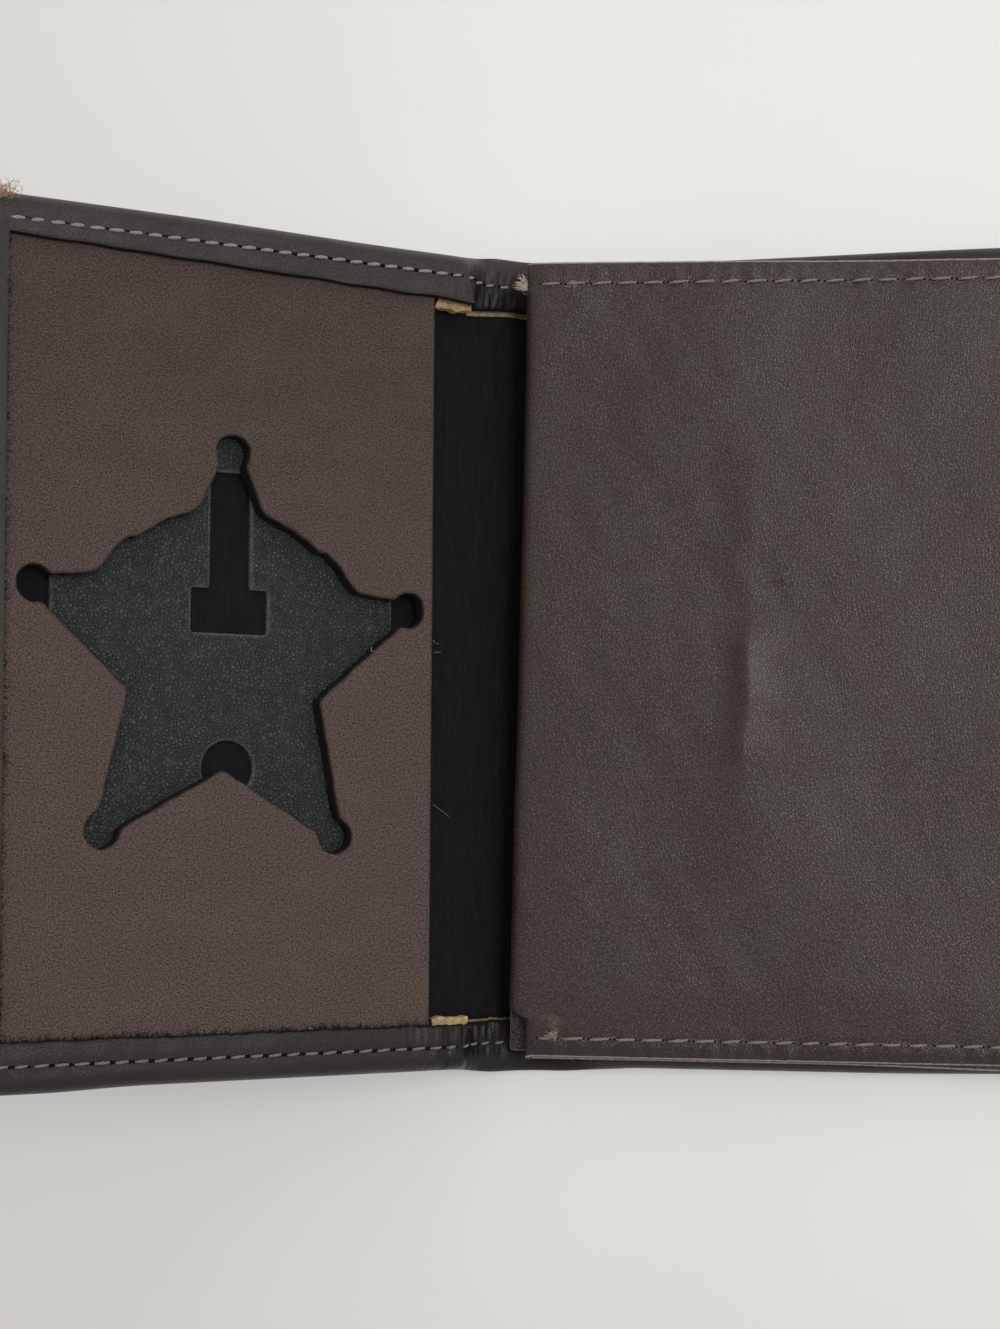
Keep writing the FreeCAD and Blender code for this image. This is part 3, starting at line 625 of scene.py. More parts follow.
def hem_rows():
    """The turned edge from the hem's inner border, over its top, round the outside and underneath."""
    rows = []

    def add(loop, height, wear_and_painted_light, inset):
        # Painted shade on the gathered hems and on the lower hem, kept as minus wear.
        shade = spine_shade(loop[:, 0], loop[:, 1], inset)
        in_lower_hem = loop[:, 1] < -HALF + HEM_WIDTH + 0.5
        shade = np.maximum(shade, np.where(in_lower_hem, LOWER_SHADE, 0.0))
        rows.append((loop, height, wear_and_painted_light * (1.0 - shade) - shade))

    for fixed, drop, wear_and_painted_light in BORDER_ROWS:
        loop = hem_loop(fixed, 1.0)
        add(loop, hem_height(loop[:, 0], CRISP_STEP) - drop, wear_and_painted_light, HEM_WIDTH)
    for share in np.linspace(0.93, 0.0, TOP_ROWS):
        loop = hem_loop(HEM_ROLL * (1.0 - share), share)
        across, along = loop.T
        inset = HEM_ROLL * (1.0 - share) + share * HEM_WIDTH
        at_end = np.minimum(across - LEFT_END, COVER - across) < END_HEM
        groove = GROOVE_DEPTH * bell(inset, SEAM_INSET, GROOVE_WIDTH) * ~at_end
        swell = 0.12 * math.sin(math.pi * share)
        height = hem_height(across, SOFT_STEP + (CRISP_STEP - SOFT_STEP) * share)
        add(loop, height + swell - groove + hem_waves(across, along), 0.0, inset)
    for turn in np.linspace(72.0, -90.0, ROLL_ROWS):
        lean = math.radians(turn)
        loop = hem_loop(HEM_ROLL * (1.0 - math.cos(lean)), 0.0)
        across, along = loop.T
        dents = gather_folds(across, along) * max(math.sin(lean), 0.0)
        height = hem_height(across, SOFT_STEP) * (0.5 + 0.5 * math.sin(lean)) + dents
        # The badge cover's roll is a little paler where it turns up; the ID cover's roll is darkened,
        # painted shade.
        roll_tone = np.where(across < 0.0, 0.15 if 20.0 < turn < 65.0 else 0.0, -0.4)
        # Painted shade on the underside of the lower roll, which faces down.
        underside_shade = 0.9 * smooth_step(-turn, -85.0, -25.0)
        add(loop, height, np.where(along < -HALF + CORNER, -underside_shade, roll_tone), 0.0)
    loop = hem_loop(UNDER_INSET, 0.0)
    add(loop, np.zeros(len(loop)), 0.0, 0.0)
    return rows


def wallet_leather():
    """The hems and, between them, the plain sheet of the covers and the spine."""
    rows = hem_rows()
    count = len(rows[0][0])
    faces = grid_faces(len(rows), count, wrap=True)
    walk = walked(rows[SEAM_ROW][0])
    down = np.array([-np.mean(np.abs(loop[:LONG, 1])) + 0.8 * height.mean() for loop, height, _ in rows])
    down = np.cumsum(np.abs(np.diff(down, prepend=0)))
    edges = stretches((LEFT_END + 2.0, -16.0, 24), (-15.0, 10.0, 60), (11.0, COVER - 2.0, 24))
    across, along = np.meshgrid(edges, np.linspace(-HALF + 2.0, HALF - 2.0, 30))
    sheet, backs = slab(across, along, np.full(across.shape, LEATHER - 0.1), 0.03)
    points = np.vstack([columns(loop, height) for loop, height, _ in rows])
    backs = shifted(backs, len(points))
    flat = columns(np.tile(walk, len(rows)), np.repeat(down, count))
    wear_and_painted_light = np.concatenate([worn_and_painted_light for _, _, worn_and_painted_light in rows] + [np.zeros(len(sheet))])
    choice = [1 if k < 2 * count else 0 for k in range(len(faces))] + [0] * len(backs)
    piece = new_mesh("wallet_leather", folded(np.vstack((points, sheet))), faces + backs,
                     np.vstack((flat, sheet[:, :2])), [black_leather, dark_edge], choice, wear_and_painted_light)
    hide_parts("badge_cover_leather", "spine_leather", "id_cover_leather")
    bends_with_cover(piece)


# Spine: the tan flesh side of the leather, and the black cloth that lines the badge cover and the spine

def flesh_side():
    """Tan inner side of the leather, seen between the hems and the lining."""
    across, along = np.meshgrid(np.linspace(BADGE_BORDER - 4.0, SPINE, 80),
                                np.linspace(-HALF + 1.5, HALF - 1.5, 60))
    height = LEATHER + 0.03 * ripple(across, along, 11, 2.0)
    points, faces = slab(across, along, height, LEATHER - 0.06)
    piece = new_mesh("spine_flesh_side", folded(points), faces, points[:, :2], [flesh_edge])
    bends_with_cover(piece)


def lining():
    """One sheet of cloth, wide under the badge cover's face and trimmed between the spine's hems."""
    edges = stretches((-END_INSIDE - ARC, BADGE_BORDER - 8.0, 40), (BADGE_BORDER - 7.6, SPINE, 74))
    shares = np.linspace(0.0, 1.0, 130)
    hidden = edges < BADGE_BORDER - 0.2
    high = np.where(hidden, INSIDE, HALF - top_hem(edges) - 0.75)
    low = np.where(hidden, -INSIDE, -HALF + low_hem(edges) + 0.35)
    across = np.tile(edges, (len(shares), 1))
    along = low + shares[:, None] * (high - low)
    slack = smooth_step(edges, FACE_BORDER, BADGE_BORDER)
    height = LINING_TOP - 0.02 + slack * (0.05 * ripple(across, along, 12, 9.0) + 0.05)
    points, faces = slab(across, along, height, LEATHER + 0.05)
    piece = new_mesh("wallet_lining", folded(points), faces, points[:, :2], [black_weave])
    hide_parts("badge_cover_lining", "spine_lining")
    bends_with_cover(piece)


# Flat plates with openings

# Rounding of a lip, from its flat side down: share of the lip's width, share of its depth, and wear, which
# makes the rounded rims paler on grained materials, a painted highlight, and darker on the suede, the dark
# fuzz of its cut edge
LIP_ROUND = ((1.0, 0.0, 0.0), (0.6, 0.07, 0.2), (0.3, 0.22, 0.6), (0.1, 0.45, 1.0), (0.0, 0.8, 1.0))
EASE_PASSES = 14


def resampled(points, step):
    """A closed outline with evenly spaced points."""
    points = np.vstack((points, points[:1]))
    walk = walked(points)
    places = np.linspace(0.0, walk[-1], max(int(walk[-1] / step), 12), endpoint=False)
    return columns(np.interp(places, walk, points[:, 0]), np.interp(places, walk, points[:, 1]))


def eased(points, passes):
    """The same closed outline with its corners rounded a little more at each pass."""
    for _ in range(passes):
        points = 0.5 * points + 0.25 * (np.roll(points, 1, axis=0) + np.roll(points, -1, axis=0))
    return points


def softened(points, step, passes):
    """An evenly spaced outline whose corners are eased."""
    return eased(resampled(points, step), passes)


def grown(points, amount):
    """The outline moved outwards by amount; the outline runs anticlockwise."""
    ahead = np.roll(points, -1, axis=0) - np.roll(points, 1, axis=0)
    normal = columns(ahead[:, 1], -ahead[:, 0])
    normal /= np.linalg.norm(normal, axis=1)[:, None]
    return points + amount * normal


def lipped(outline, amount):
    """The outline moved by a lip's width, its corners eased the more, the wider the lip."""
    return eased(grown(outline, amount), int(EASE_PASSES * abs(amount)))


def box_outline(left, right, low, high):
    return np.array(((left, low), (right, low), (right, high), (left, high)), float)


def within(points, outline):
    """Which points lie inside a closed outline."""
    inside = np.zeros(len(points), bool)
    x, y = points[:, 0], points[:, 1]
    for (x0, y0), (x1, y1) in zip(outline, np.roll(outline, -1, axis=0)):
        if y0 != y1:
            crosses = (y0 > y) != (y1 > y)
            inside ^= crosses & (x < (x1 - x0) * (y - y0) / (y1 - y0) + x0)
    return inside


def net(outer, holes, step):
    """Points and triangles that fill an outline except for its holes."""
    rims = [outer] + holes
    low, high = outer.min(axis=0) + step, outer.max(axis=0)
    across, along = np.meshgrid(np.arange(low[0], high[0], step), np.arange(low[1], high[1], step))
    fill = columns(across.ravel(), along.ravel())
    keep = within(fill, grown(outer, -0.4 * step))
    for hole in holes:
        keep &= ~within(fill, grown(hole, 0.4 * step))
    edges = []
    start = 0
    for rim in rims:
        count = len(rim)
        edges += [(start + k, start + (k + 1) % count) for k in range(count)]
        start += count
    points = np.vstack(rims + [fill[keep]])
    found = delaunay_2d_cdt([Vector(point) for point in points], edges, [], 0, 1e-7)
    points = np.array([tuple(point) for point in found[0]])
    faces = np.array([tuple(face) for face in found[2]])
    middles = points[faces].mean(axis=1)
    keep = within(middles, outer)
    for hole in holes:
        keep &= ~within(middles, hole)
    faces = faces[keep]
    first, second, third = (points[faces[:, k]] for k in range(3))
    turn = (second[:, 0] - first[:, 0]) * (third[:, 1] - first[:, 1])
    turn -= (second[:, 1] - first[:, 1]) * (third[:, 0] - first[:, 0])
    faces[turn < 0] = faces[turn < 0][:, ::-1]
    return points, faces


def plate(name, outer, holes, low, top, lip, step, relief, place, materials):
    """A flat sheet with rounded lips. Its walls take the second material and its underside the last one."""
    outlines = [(outer, -lip)] + [(hole, lip) for hole in holes]
    upper = [lipped(outline, width) for outline, width in outlines]
    points, faces = net(upper[0], upper[1:], step)
    solid = [columns(points, top + relief(points[:, 0], points[:, 1]))]
    wear_and_painted_light = [np.zeros(len(points))]
    every = shifted(faces, 0)
    choice = [0] * len(every)
    start = len(points)
    for outline, width in outlines:
        count = len(outline)
        for move, drop, worn_and_painted_light in LIP_ROUND:
            ring = lipped(outline, width * move)
            level = top - lip * drop
            if drop == 0.0:
                level = level + relief(ring[:, 0], ring[:, 1])
            solid.append(columns(ring, level))
            wear_and_painted_light.append(np.full(count, worn_and_painted_light))
        solid.append(columns(outline, low))
        wear_and_painted_light.append(np.zeros(count))
        rings = len(LIP_ROUND) + 1
        walls = grid_faces(rings, count, wrap=True)
        every += shifted(walls, start, flip=outline is outer)
        skin = (len(LIP_ROUND) - 1) * count
        choice += [0] * skin + [1] * (len(walls) - skin)
        start += rings * count
    points, faces = net(outer, holes, 2.0 * step)
    every += shifted(faces, start, flip=True)
    choice += [len(materials) - 1] * len(faces)
    solid.append(columns(points, low))
    wear_and_painted_light.append(np.zeros(len(points)))
    solid = np.vstack(solid)
    flat = solid[:, :2] + solid[:, 2:] * 0.7
    return new_mesh(name, place(solid), every, flat, materials, choice, np.concatenate(wear_and_painted_light))


# Badge cover: suede face, spacer and grained floor, with the star-shaped recess

STAR_X = -45.5
STAR_Y = -1.9
STAR_TURN = math.radians(-1.1)
STAR_REACH = 28.0
STAR_BALL = 2.4
STAR_VALLEY = 14.2
STAR_TIP = STAR_REACH + STAR_BALL - 0.1
BANNER_INNER = 20.3
BANNER_OUTER = 21.1
BANNER_STEP = 49.0

# Bends between the banner and the rays: length along the ray and turn along the banner, in degrees
EASE_LENGTH = 1.5
EASE_TURN = 4.5

# The banner after a ray: its radius before and after the step, the step's angle, and the next ray
BANNER_RUNS = {18: (BANNER_OUTER, BANNER_INNER, BANNER_STEP, 90),
               90: (BANNER_INNER, BANNER_OUTER, 180 - BANNER_STEP, 162)}


def star_outline():
    """Five rays with ball tips, and a stepped banner arc across the upper half, anticlockwise."""
    half_turn = math.radians(36)
    near = STAR_VALLEY * np.array((math.cos(half_turn), math.sin(half_turn)))
    run = np.array((STAR_TIP, 0.0)) - near
    ease = EASE_LENGTH * run / np.linalg.norm(run)
    points = []

    def on_ray(radius, centre, far):
        """Where the ray's edge meets a circle about a point on the ray's middle line."""
        offset = near - np.array((centre, 0.0))
        a, b, c = run @ run, 2.0 * run @ offset, offset @ offset - radius * radius
        root = math.sqrt(b * b - 4.0 * a * c)
        return near + run * ((-b + (root if far else -root)) / (2.0 * a))

    def spot(degrees, along, aside):
        turn = math.radians(degrees)
        return np.array((along * math.cos(turn) - aside * math.sin(turn),
                         along * math.sin(turn) + aside * math.cos(turn)))

    def fillet(corner, end):
        """A soft bend from the last point past a corner to the end."""
        begin = points[-1]
        for share in np.linspace(0.2, 1.0, 5):
            rest = 1.0 - share
            points.append(rest * rest * begin + 2.0 * share * rest * corner + share * share * end)

    def banner_meets(ray):
        """Where the banner meets a ray's edge, and how far that is turned from the ray's middle line."""
        edge = on_ray(BANNER_INNER if ray == 90 else BANNER_OUTER, 0.0, True)
        return edge, math.degrees(math.atan2(edge[1], edge[0]))

    neck = on_ray(STAR_BALL, STAR_REACH, False)
    swing = math.atan2(neck[1], neck[0] - STAR_REACH)
    for ray in (234, 306, 18, 90, 162):
        edge, aside = banner_meets(ray)
        if ray in (90, 162):
            fillet(spot(ray, edge[0], -edge[1]), spot(ray, edge[0] + ease[0], -edge[1] - ease[1]))
        else:
            points.append(spot(ray, near[0], -near[1]))
        if ray == 90:
            first_point = len(points) - 1
        for angle in np.linspace(-swing, swing, 40):
            points.append(spot(ray, STAR_REACH + STAR_BALL * math.cos(angle), STAR_BALL * math.sin(angle)))
        if ray in BANNER_RUNS:
            before, after, step, next_ray = BANNER_RUNS[ray]
            first = ray + aside + EASE_TURN
            last = next_ray - banner_meets(next_ray)[1] - EASE_TURN
            points.append(spot(ray, edge[0] + ease[0], edge[1] + ease[1]))
            fillet(spot(ray, edge[0], edge[1]), spot(first, before, 0.0))
            points += [spot(angle, before, 0.0) for angle in np.linspace(first, step, 14)[1:]]
            points += [spot(angle, after, 0.0) for angle in np.linspace(step, last, 14)]
    x, y = np.roll(points, -first_point, axis=0).T
    cos, sin = math.cos(STAR_TURN), math.sin(STAR_TURN)
    return columns(x * cos - y * sin + STAR_X, x * sin + y * cos + STAR_Y)


star = softened(star_outline(), 0.35, 3)
star = grown(star, 0.07 * ripple(star[:, 0], star[:, 1], 21, 2.5)[:, None])


def face_panel():
    outer = resampled(box_outline(-END_INSIDE, -FACE_EDGE, -INSIDE, INSIDE), 0.8)

    def relief(x, y):
        return 0.05 * ripple(x, y, 22, 16.0) + 0.02 * ripple(x, y, 23, 4.0)

    piece = plate("badge_suede_face", outer, [star], SPACER_TOP, FACE_TOP - 0.07,
                  lip=0.5, step=1.3, relief=relief, place=raised, materials=[suede, dark_edge])
    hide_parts("badge_face_panel")
    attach(piece, "badge_cover")


def spacer():
    """The board that gives the recess its depth; its ragged tan ears show beside the spine."""
    ear_gap = 0.9
    ear_top, ear_low = HALF - TOP_HEM_BADGE - ear_gap, -HALF + HEM_WIDTH + ear_gap
    outer = resampled(np.array((
        (-END_INSIDE, -INSIDE), (-SPINE, -INSIDE), (-SPINE, ear_low), (-FACE_EDGE, ear_low),
        (-FACE_EDGE, ear_top), (-SPINE, ear_top), (-SPINE, INSIDE), (-END_INSIDE, INSIDE)), float), 0.4)
    on_ear = outer[:, 0] > -FACE_EDGE + 0.3
    ragged = 0.16 * on_ear * ripple(outer[:, 0], outer[:, 1], 24, 1.6)

    def relief(x, y):
        return 0.0

    piece = plate("badge_spacer_board", grown(outer, ragged[:, None]), [star], FLOOR_TOP, SPACER_TOP - 0.02,
                  lip=0.12, step=2.5, relief=relief, place=raised, materials=[tan_edge, dark_edge])
    mesh = piece.data
    ear_start = raised([(-FACE_EDGE + 0.5, 0.0, SPACER_TOP)])[0][0]
    for polygon in mesh.polygons:
        x = sum(mesh.vertices[k].co.x for k in polygon.vertices) / len(polygon.vertices)
        polygon.material_index = 0 if x > ear_start else 1
    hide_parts("badge_recess_spacer")
    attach(piece, "badge_cover")


def recess_floor():
    """The grained panel with its T-shaped slot and thumb hole."""
    left, right = -69.1, -20.1
    middle, stem, bar = -44.2, 2.9, 5.5
    bar_low, bar_top, stem_top = 2.1, 8.1, 23.8
    thumb_y, thumb_radius = -15.9, 3.7
    half_tee = np.array(((bar, bar_low), (bar, bar_top), (stem, bar_top), (stem, stem_top)))
    tee = np.vstack(((-bar, bar_low), half_tee, half_tee[:0:-1] * (-1.0, 1.0))) + (middle, 0.0)
    turns = full_turn(60)
    thumb = columns(middle + thumb_radius * np.cos(turns), thumb_y + thumb_radius * np.sin(turns))
    outer = resampled(box_outline(left, right, -INSIDE, INSIDE), 0.8)

    def relief(x, y):
        return 0.05 * ripple(x, y, 31, 11.0) - 0.05

    piece = plate("badge_recess_grain", outer, [softened(tee, 0.25, 3), thumb], LINING_TOP, FLOOR_TOP,
                  lip=0.55, step=1.2, relief=relief, place=raised, materials=[recess_grain, grey_edge])
    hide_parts("badge_recess_floor")
    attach(piece, "badge_cover")


# ID cover: pocket cloth and window frame; its boards and clear sheet are the frame's own

def window_frame():
    border = 8.0
    left, right = (corner[0] for corner in flat_box("id_window_frame"))
    window_top = HALF - HEM_WIDTH - border
    outer = resampled(box_outline(left, right, -INSIDE, INSIDE), 1.0)
    window = softened(box_outline(left + border, right - border, -window_top, window_top), 0.5, 12)

    def relief(x, y):
        return 0.05 * ripple(x, y, 41, 9.0) - 0.06

    piece = plate("id_frame_leather", outer, [window], FACE_TOP - 1.0, FACE_TOP,
                  lip=0.3, step=1.5, relief=relief, place=lying, materials=[black_leather, dark_edge])
    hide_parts("id_window_frame")
    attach(piece, "id_cover")


def pocket_cloth():
    (left, bottom, under), (right, top, upper) = flat_box("id_pocket_lining")
    across, along = np.meshgrid(np.linspace(left, right, 60), np.linspace(bottom, top, 90))
    height = upper - 0.06 + 0.04 * ripple(across, along, 42, 12.0)
    points, faces = slab(across, along, height, under)
    piece = new_mesh("id_pocket_cloth", lying(points), faces, points[:, :2], [black_weave])
    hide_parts("id_pocket_lining")
    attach(piece, "id_cover")


# Flap: leather folded double, with its corner tab and hinge strip

CARD_X = 29.6
CARD_LEAN = 0.02


def printed_edge(past, left, right):
    """A soft crest: a flank of that width on its left and a long slope on its right."""
    beyond = np.maximum(past, 0.0)
    slope = 0.55 * np.exp(-beyond / right) + 0.45 * np.exp(-beyond / (4.0 * right))
    return np.where(past < 0.0, bell(past, 0.0, left), slope)


def card_line(x, y):
    """How far past the printed card edge a place lies, and how widely and how sharply it shows there."""
    past = x - (CARD_X + CARD_LEAN * y + 0.5 * ripple(0.0, y, 51, 14.0))
    broad = hump(y, -28.0, -16.0, 20.0, 42.0)
    sharp = hump(y, -17.0, -11.0, 0.0, 6.0)
    return past, broad, sharp * (1.0 + 0.3 * ripple(0.0, y, 56, 9.0))


def flap_relief(x, y):
    """Height of the flap's upper skin over flat: the printed card edge, waves and pulled-in seams."""
    past, broad, sharp = card_line(x, y)
    height = 0.9 * sharp * printed_edge(past, 2.0, 3.1) + 0.24 * broad * printed_edge(past, 3.5, 3.4)
    height += 0.04 * broad * np.exp(-np.abs(past - 4.0) / 8.0) * ripple(x * 0.25, y, 55, 2.4)
    height += 0.15 * ripple(x, y, 52, 26.0) + 0.03 * ripple(x, y, 53, 7.0)
    height -= 0.5 * smooth_step(-y, FLAP_SEAM - 8.0, FLAP_SEAM)
    seam = bell(np.abs(y), FLAP_SEAM, 0.8)
    pulls = 0.7 + 0.3 * np.cos(2.0 * math.pi * (x - FLAP_FIRST) / FLAP_PITCH)
    border = smooth_step(np.abs(y), FLAP_SEAM - 0.6, FLAP_SEAM + 0.8)
    return height - 0.2 * seam * pulls + 0.06 * border * ripple(x, 0.4 * y, 57, 2.6)


def flap_edge(x, y):
    """The flap's upper edge isn't quite square: it sits high at the fold and low at the far end."""
    upper = np.maximum(y, 0.0) / FLAP_HALF
    across = smooth_step(x, -10.0, 74.0)
    border = smooth_step(y, FLAP_SEAM + 0.3, FLAP_HALF)
    return y + upper * (0.45 - 0.9 * across) + border * (0.6 - 0.35 * across)


def fold_lean(y):
    """How far the folded edge stands out: more towards the bottom, until the corner tab takes its place."""
    out = np.interp(y, (-50.0, -27.0, 0.0, 20.0, 55.0), (2.4, 1.9, 1.25, 0.7, 0.3))
    return out * smooth_step(y, -50.2, -48.8)


def flap_marks_and_painted_light(x, y):
    """The upper skin's marks: rubbed at the first stitch, a painted highlight along the card edge, and
    painted shade at the fold, below the lower seam and on the slope down to it.
    """
    ahead = np.maximum(x, 0.0)
    past, _, sharp = card_line(ahead, y)
    # A pale smudge at the first stitch, and a painted highlight on the card edge's crest.
    smudge_and_highlight = 0.5 * bell(x, 2.6, 1.0) * bell(y, -50.9, 1.6) + 0.1 * sharp * bell(past, 2.2, 2.4)
    # Painted shade: below the lower seam, on the slope down to it, and at the fold.
    painted_shade = 0.4 * smooth_step(-y, FLAP_SEAM - 0.3, FLAP_SEAM + 0.6)
    painted_shade = painted_shade + 0.1 * smooth_step(-y, FLAP_SEAM - 7.0, FLAP_SEAM) + 0.2 * bell(ahead, 0.0, 2.2)
    return smudge_and_highlight - painted_shade


def flap_section(radius, middle):
    """Flat x and height, from the upper layer's far end, round the fold, to the lower layer's far end."""
    run = stretches((0.0, 26.0, 42), (26.4, 36.0, 34), (36.7, FLAP_END, 50))
    turns = np.linspace(0.5 * math.pi, 1.5 * math.pi, 17)[1:-1]
    upper = columns(run[::-1], middle + radius)
    bend = columns(radius * np.cos(turns), middle + radius * np.sin(turns))
    lower = columns(run, middle - radius)
    return np.vstack((upper, bend, lower))


def flap_leather():
    """Two skins, outside and inside, closed along the sides and at the far end."""
    middle = 0.5 * (FLAP_TOP + FLAP_LOW)
    radius = 0.5 * (FLAP_TOP - FLAP_LOW)
    outside, inside = flap_section(radius, middle), flap_section(radius - FLAP_LAYER, middle)
    rim = np.concatenate(((0.0, 0.22), np.linspace(0.5, 4.6, 12)))
    sides = np.concatenate((rim - FLAP_HALF, np.linspace(5.2 - FLAP_HALF, FLAP_HALF - 5.2, 130),
                            FLAP_HALF - rim[::-1]))
    lift = np.clip((outside[:, 1] - middle) / radius, 0.0, 1.0)
    walk = walked(outside)
    points, flat, wear_and_painted_light = [], [], []
    for section, relief, sink in ((outside, 1.0, 0.5), (inside, 0.35, 0.4)):
        x, z = section.T
        ahead = np.maximum(x, 0.0)
        parted = 0.35 + 0.5 * smooth_step(x, 38.0, 70.0)
        for y in sides:
            rise = relief * flap_relief(ahead, y)
            drop = sink * smooth_step(abs(y), FLAP_SEAM + 0.2, FLAP_HALF + 0.8)
            drop += 0.12 if abs(y) > FLAP_HALF - 0.1 else 0.0
            sway = (0.1 * ripple(y, 0.0, 54, 30.0) - fold_lean(y)) * np.exp(-ahead / 4.0)
            spread = (1.0 - lift) * parted * smooth_step(-y, FLAP_HALF - 4.0, FLAP_HALF)
            points.append(columns(x + sway, flap_edge(x, y) - spread, z + lift * (rise - drop)))
            flat.append(columns(walk, y))
            wear_and_painted_light.append(lift * flap_marks_and_painted_light(x, y))
    width, rows = len(outside), len(sides)
    start = rows * width
    skin = grid_faces(rows, width)
    ends = []
    for row, turn in ((0, 1), (rows - 1, -1)):
        for k in range(row * width, (row + 1) * width - 1):
            ends.append((k, k + 1, start + k + 1, start + k)[::-turn])
    for column in (0, width - 1):
        for a in range(column, start - width, width):
            ends.append((a, a + width, start + a + width, start + a))
    rims = [1 if k // (width - 1) in (0, rows - 2) else 0 for k in range(len(skin))]
    piece = new_mesh("flap_skin", lying(np.vstack(points)), skin + shifted(skin, start, flip=True) + ends,
                     np.vstack(flat), [brown_leather, pale_cut], rims + rims + [1] * len(ends),
                     np.concatenate(wear_and_painted_light))
    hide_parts("flap_leather")
    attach(piece, "flap")


def corner_tab():
    (left, low, under), (right, high, top) = flat_box("flap_corner_tab")
    outer = softened(box_outline(left - 0.7, right, low, high), 0.3, 2)

    def relief(x, y):
        return 0.05 * ripple(x, y, 61, 3.0)

    piece = plate("flap_tab", outer, [], under, top - 0.05,
                  lip=0.2, step=0.6, relief=relief, place=lying,
                  materials=[tab_leather, pale_cut, dark_edge])
    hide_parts("flap_corner_tab")
    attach(piece, "flap")


def hinge_strip():
    """The strip that the flap turns on: from inside the flap, down behind it and under the end hem."""
    (left, low, under), (right, high, top) = flat_box("flap_hinge_strip")
    thick, bend = 0.46, 1.0
    tongue, foot = top - 0.5, under + 0.5
    turns = np.linspace(0.0, 0.5 * math.pi, 8)
    path = np.vstack((
        columns(np.linspace(left, HINGE_X - bend, 14), tongue),
        columns(HINGE_X - bend + np.sin(turns), tongue - bend + np.cos(turns))[1:],
        columns(HINGE_X + bend - np.cos(turns), foot + bend - np.sin(turns)),
        columns(np.linspace(HINGE_X + bend, right, 10), foot)[1:],
    ))
    ahead = np.gradient(path, axis=0)
    normal = columns(-ahead[:, 1], ahead[:, 0]) / np.linalg.norm(ahead, axis=1)[:, None]
    section = np.vstack((path + thick * normal, (path - thick * normal)[::-1]))
    count = len(section)
    sides = np.linspace(low, high, 70)
    points = columns(np.tile(section[:, 0], len(sides)), np.repeat(sides, count),
                     np.tile(section[:, 1], len(sides)))
    points[:, 2] += 0.05 * ripple(points[:, 0], points[:, 1], 62, 5.0)
    faces = grid_faces(len(sides), count, wrap=True)
    caps = [tuple(range(count)), tuple(reversed(range((len(sides) - 1) * count, len(sides) * count)))]
    flat = columns(np.tile(walked(section), len(sides)), points[:, 1])
    piece = new_mesh("flap_hinge_leather", lying(points), faces + caps, flat, [brown_leather, pale_cut],
                     [0] * len(faces) + [1, 1])
    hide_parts("flap_hinge_strip")
    start, end = lying([(HINGE_X + bend, 0.0, foot + 0.6), (HINGE_X - bend, 0.0, tongue)])
    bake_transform(piece)
    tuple(start)
    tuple(end)


# Seams: twisted stitches that sink into the leather at both ends, with dark discs between them for the
# painted shade in the needle holes

PITCH = 2.65
SPINE_PITCH = 2.35
STITCH = 2.2
SPINE_STITCH = 0.72 * SPINE_PITCH
FLAP_STITCH = 2.75
STITCH_RADIUS = 0.22
THIN_STITCH = 0.17
FLAP_STITCH_RADIUS = 0.18
HOLE = 0.3
FLAP_HOLE = 0.16

# Where the first stitch starts, from the badge cover's end and from the ID cover's border with the spine
BADGE_FIRST, ID_FIRST = 3.4, 2.5


def stitches(name, starts, direction, length, radius, hole, place, material, seed):
    """starts are the flat places of the stitches' first ends; direction is 0 along x and 1 along y."""
    rng = np.random.default_rng(seed)
    rings, around, rim = 9, 8, 10
    share, turn = (part.ravel() for part in np.meshgrid(np.linspace(-1.0, 1.0, rings), full_turn(around),
                                                        indexing="ij"))
    thick = radius * (1.0 - 0.3 * share ** 4) * (1.0 + 0.16 * np.cos(2.0 * turn - 5.0 * share))
    body = tube_faces(rings, around)
    # Each needle hole is a flat dark disc: painted shade.
    after = [(k + 1) % rim for k in range(rim)]
    lens = [face for k in range(rim) for face in ((k, after[k], rim), (after[k], k, rim + 1))]
    lens_x = np.append(hole * np.cos(full_turn(rim)), (0.0, 0.0))
    lens_y = np.append(0.85 * hole * np.sin(full_turn(rim)), (0.0, 0.0))
    lens_z = np.array([0.05] * rim + [0.1, -0.1])
    way = np.eye(2)[direction]
    aside = np.array((-way[1], way[0]))
    points, faces, flat, choice = [], [], [], []
    count = 0
    for x, y, z in starts:
        slant = rng.uniform(0.05, 0.14)
        arch = rng.uniform(0.9, 1.15)
        half = 0.5 * length * rng.uniform(0.88, 1.06)
        middle = np.array((x, y)) + 0.5 * length * way
        ahead = half * share
        side = slant * share + thick * np.cos(turn)
        level = z - 0.02 + arch * 0.2 * (1.0 - abs(share) ** 3) - 0.17 * abs(share) ** 5
        level = level + 0.85 * thick * np.sin(turn)
        points.append(columns(middle + np.outer(ahead, way) + np.outer(side, aside), level))
        flat.append(columns(ahead * 2.0 + x * 3.0, turn * radius * 2.0))
        faces += shifted(body, count)
        count += len(share)
        for end in (-1.05 * half, 1.05 * half):
            spread = columns(lens_x, lens_y) + end * way
            points.append(columns(spread + middle, z + lens_z))
            flat.append(spread)
            faces += shifted(lens, count)
            count += len(spread)
        choice += [0] * len(body) + [1] * (2 * len(lens))
    return new_mesh(name, place(np.vstack(points)), faces, np.vstack(flat), [material, needle_hole_shade], choice)


def seam_level(across, along):
    """Height of the leather in the groove of a hem's seam."""
    return hem_height(across, 2.5) - 0.07 + hem_waves(across, along)


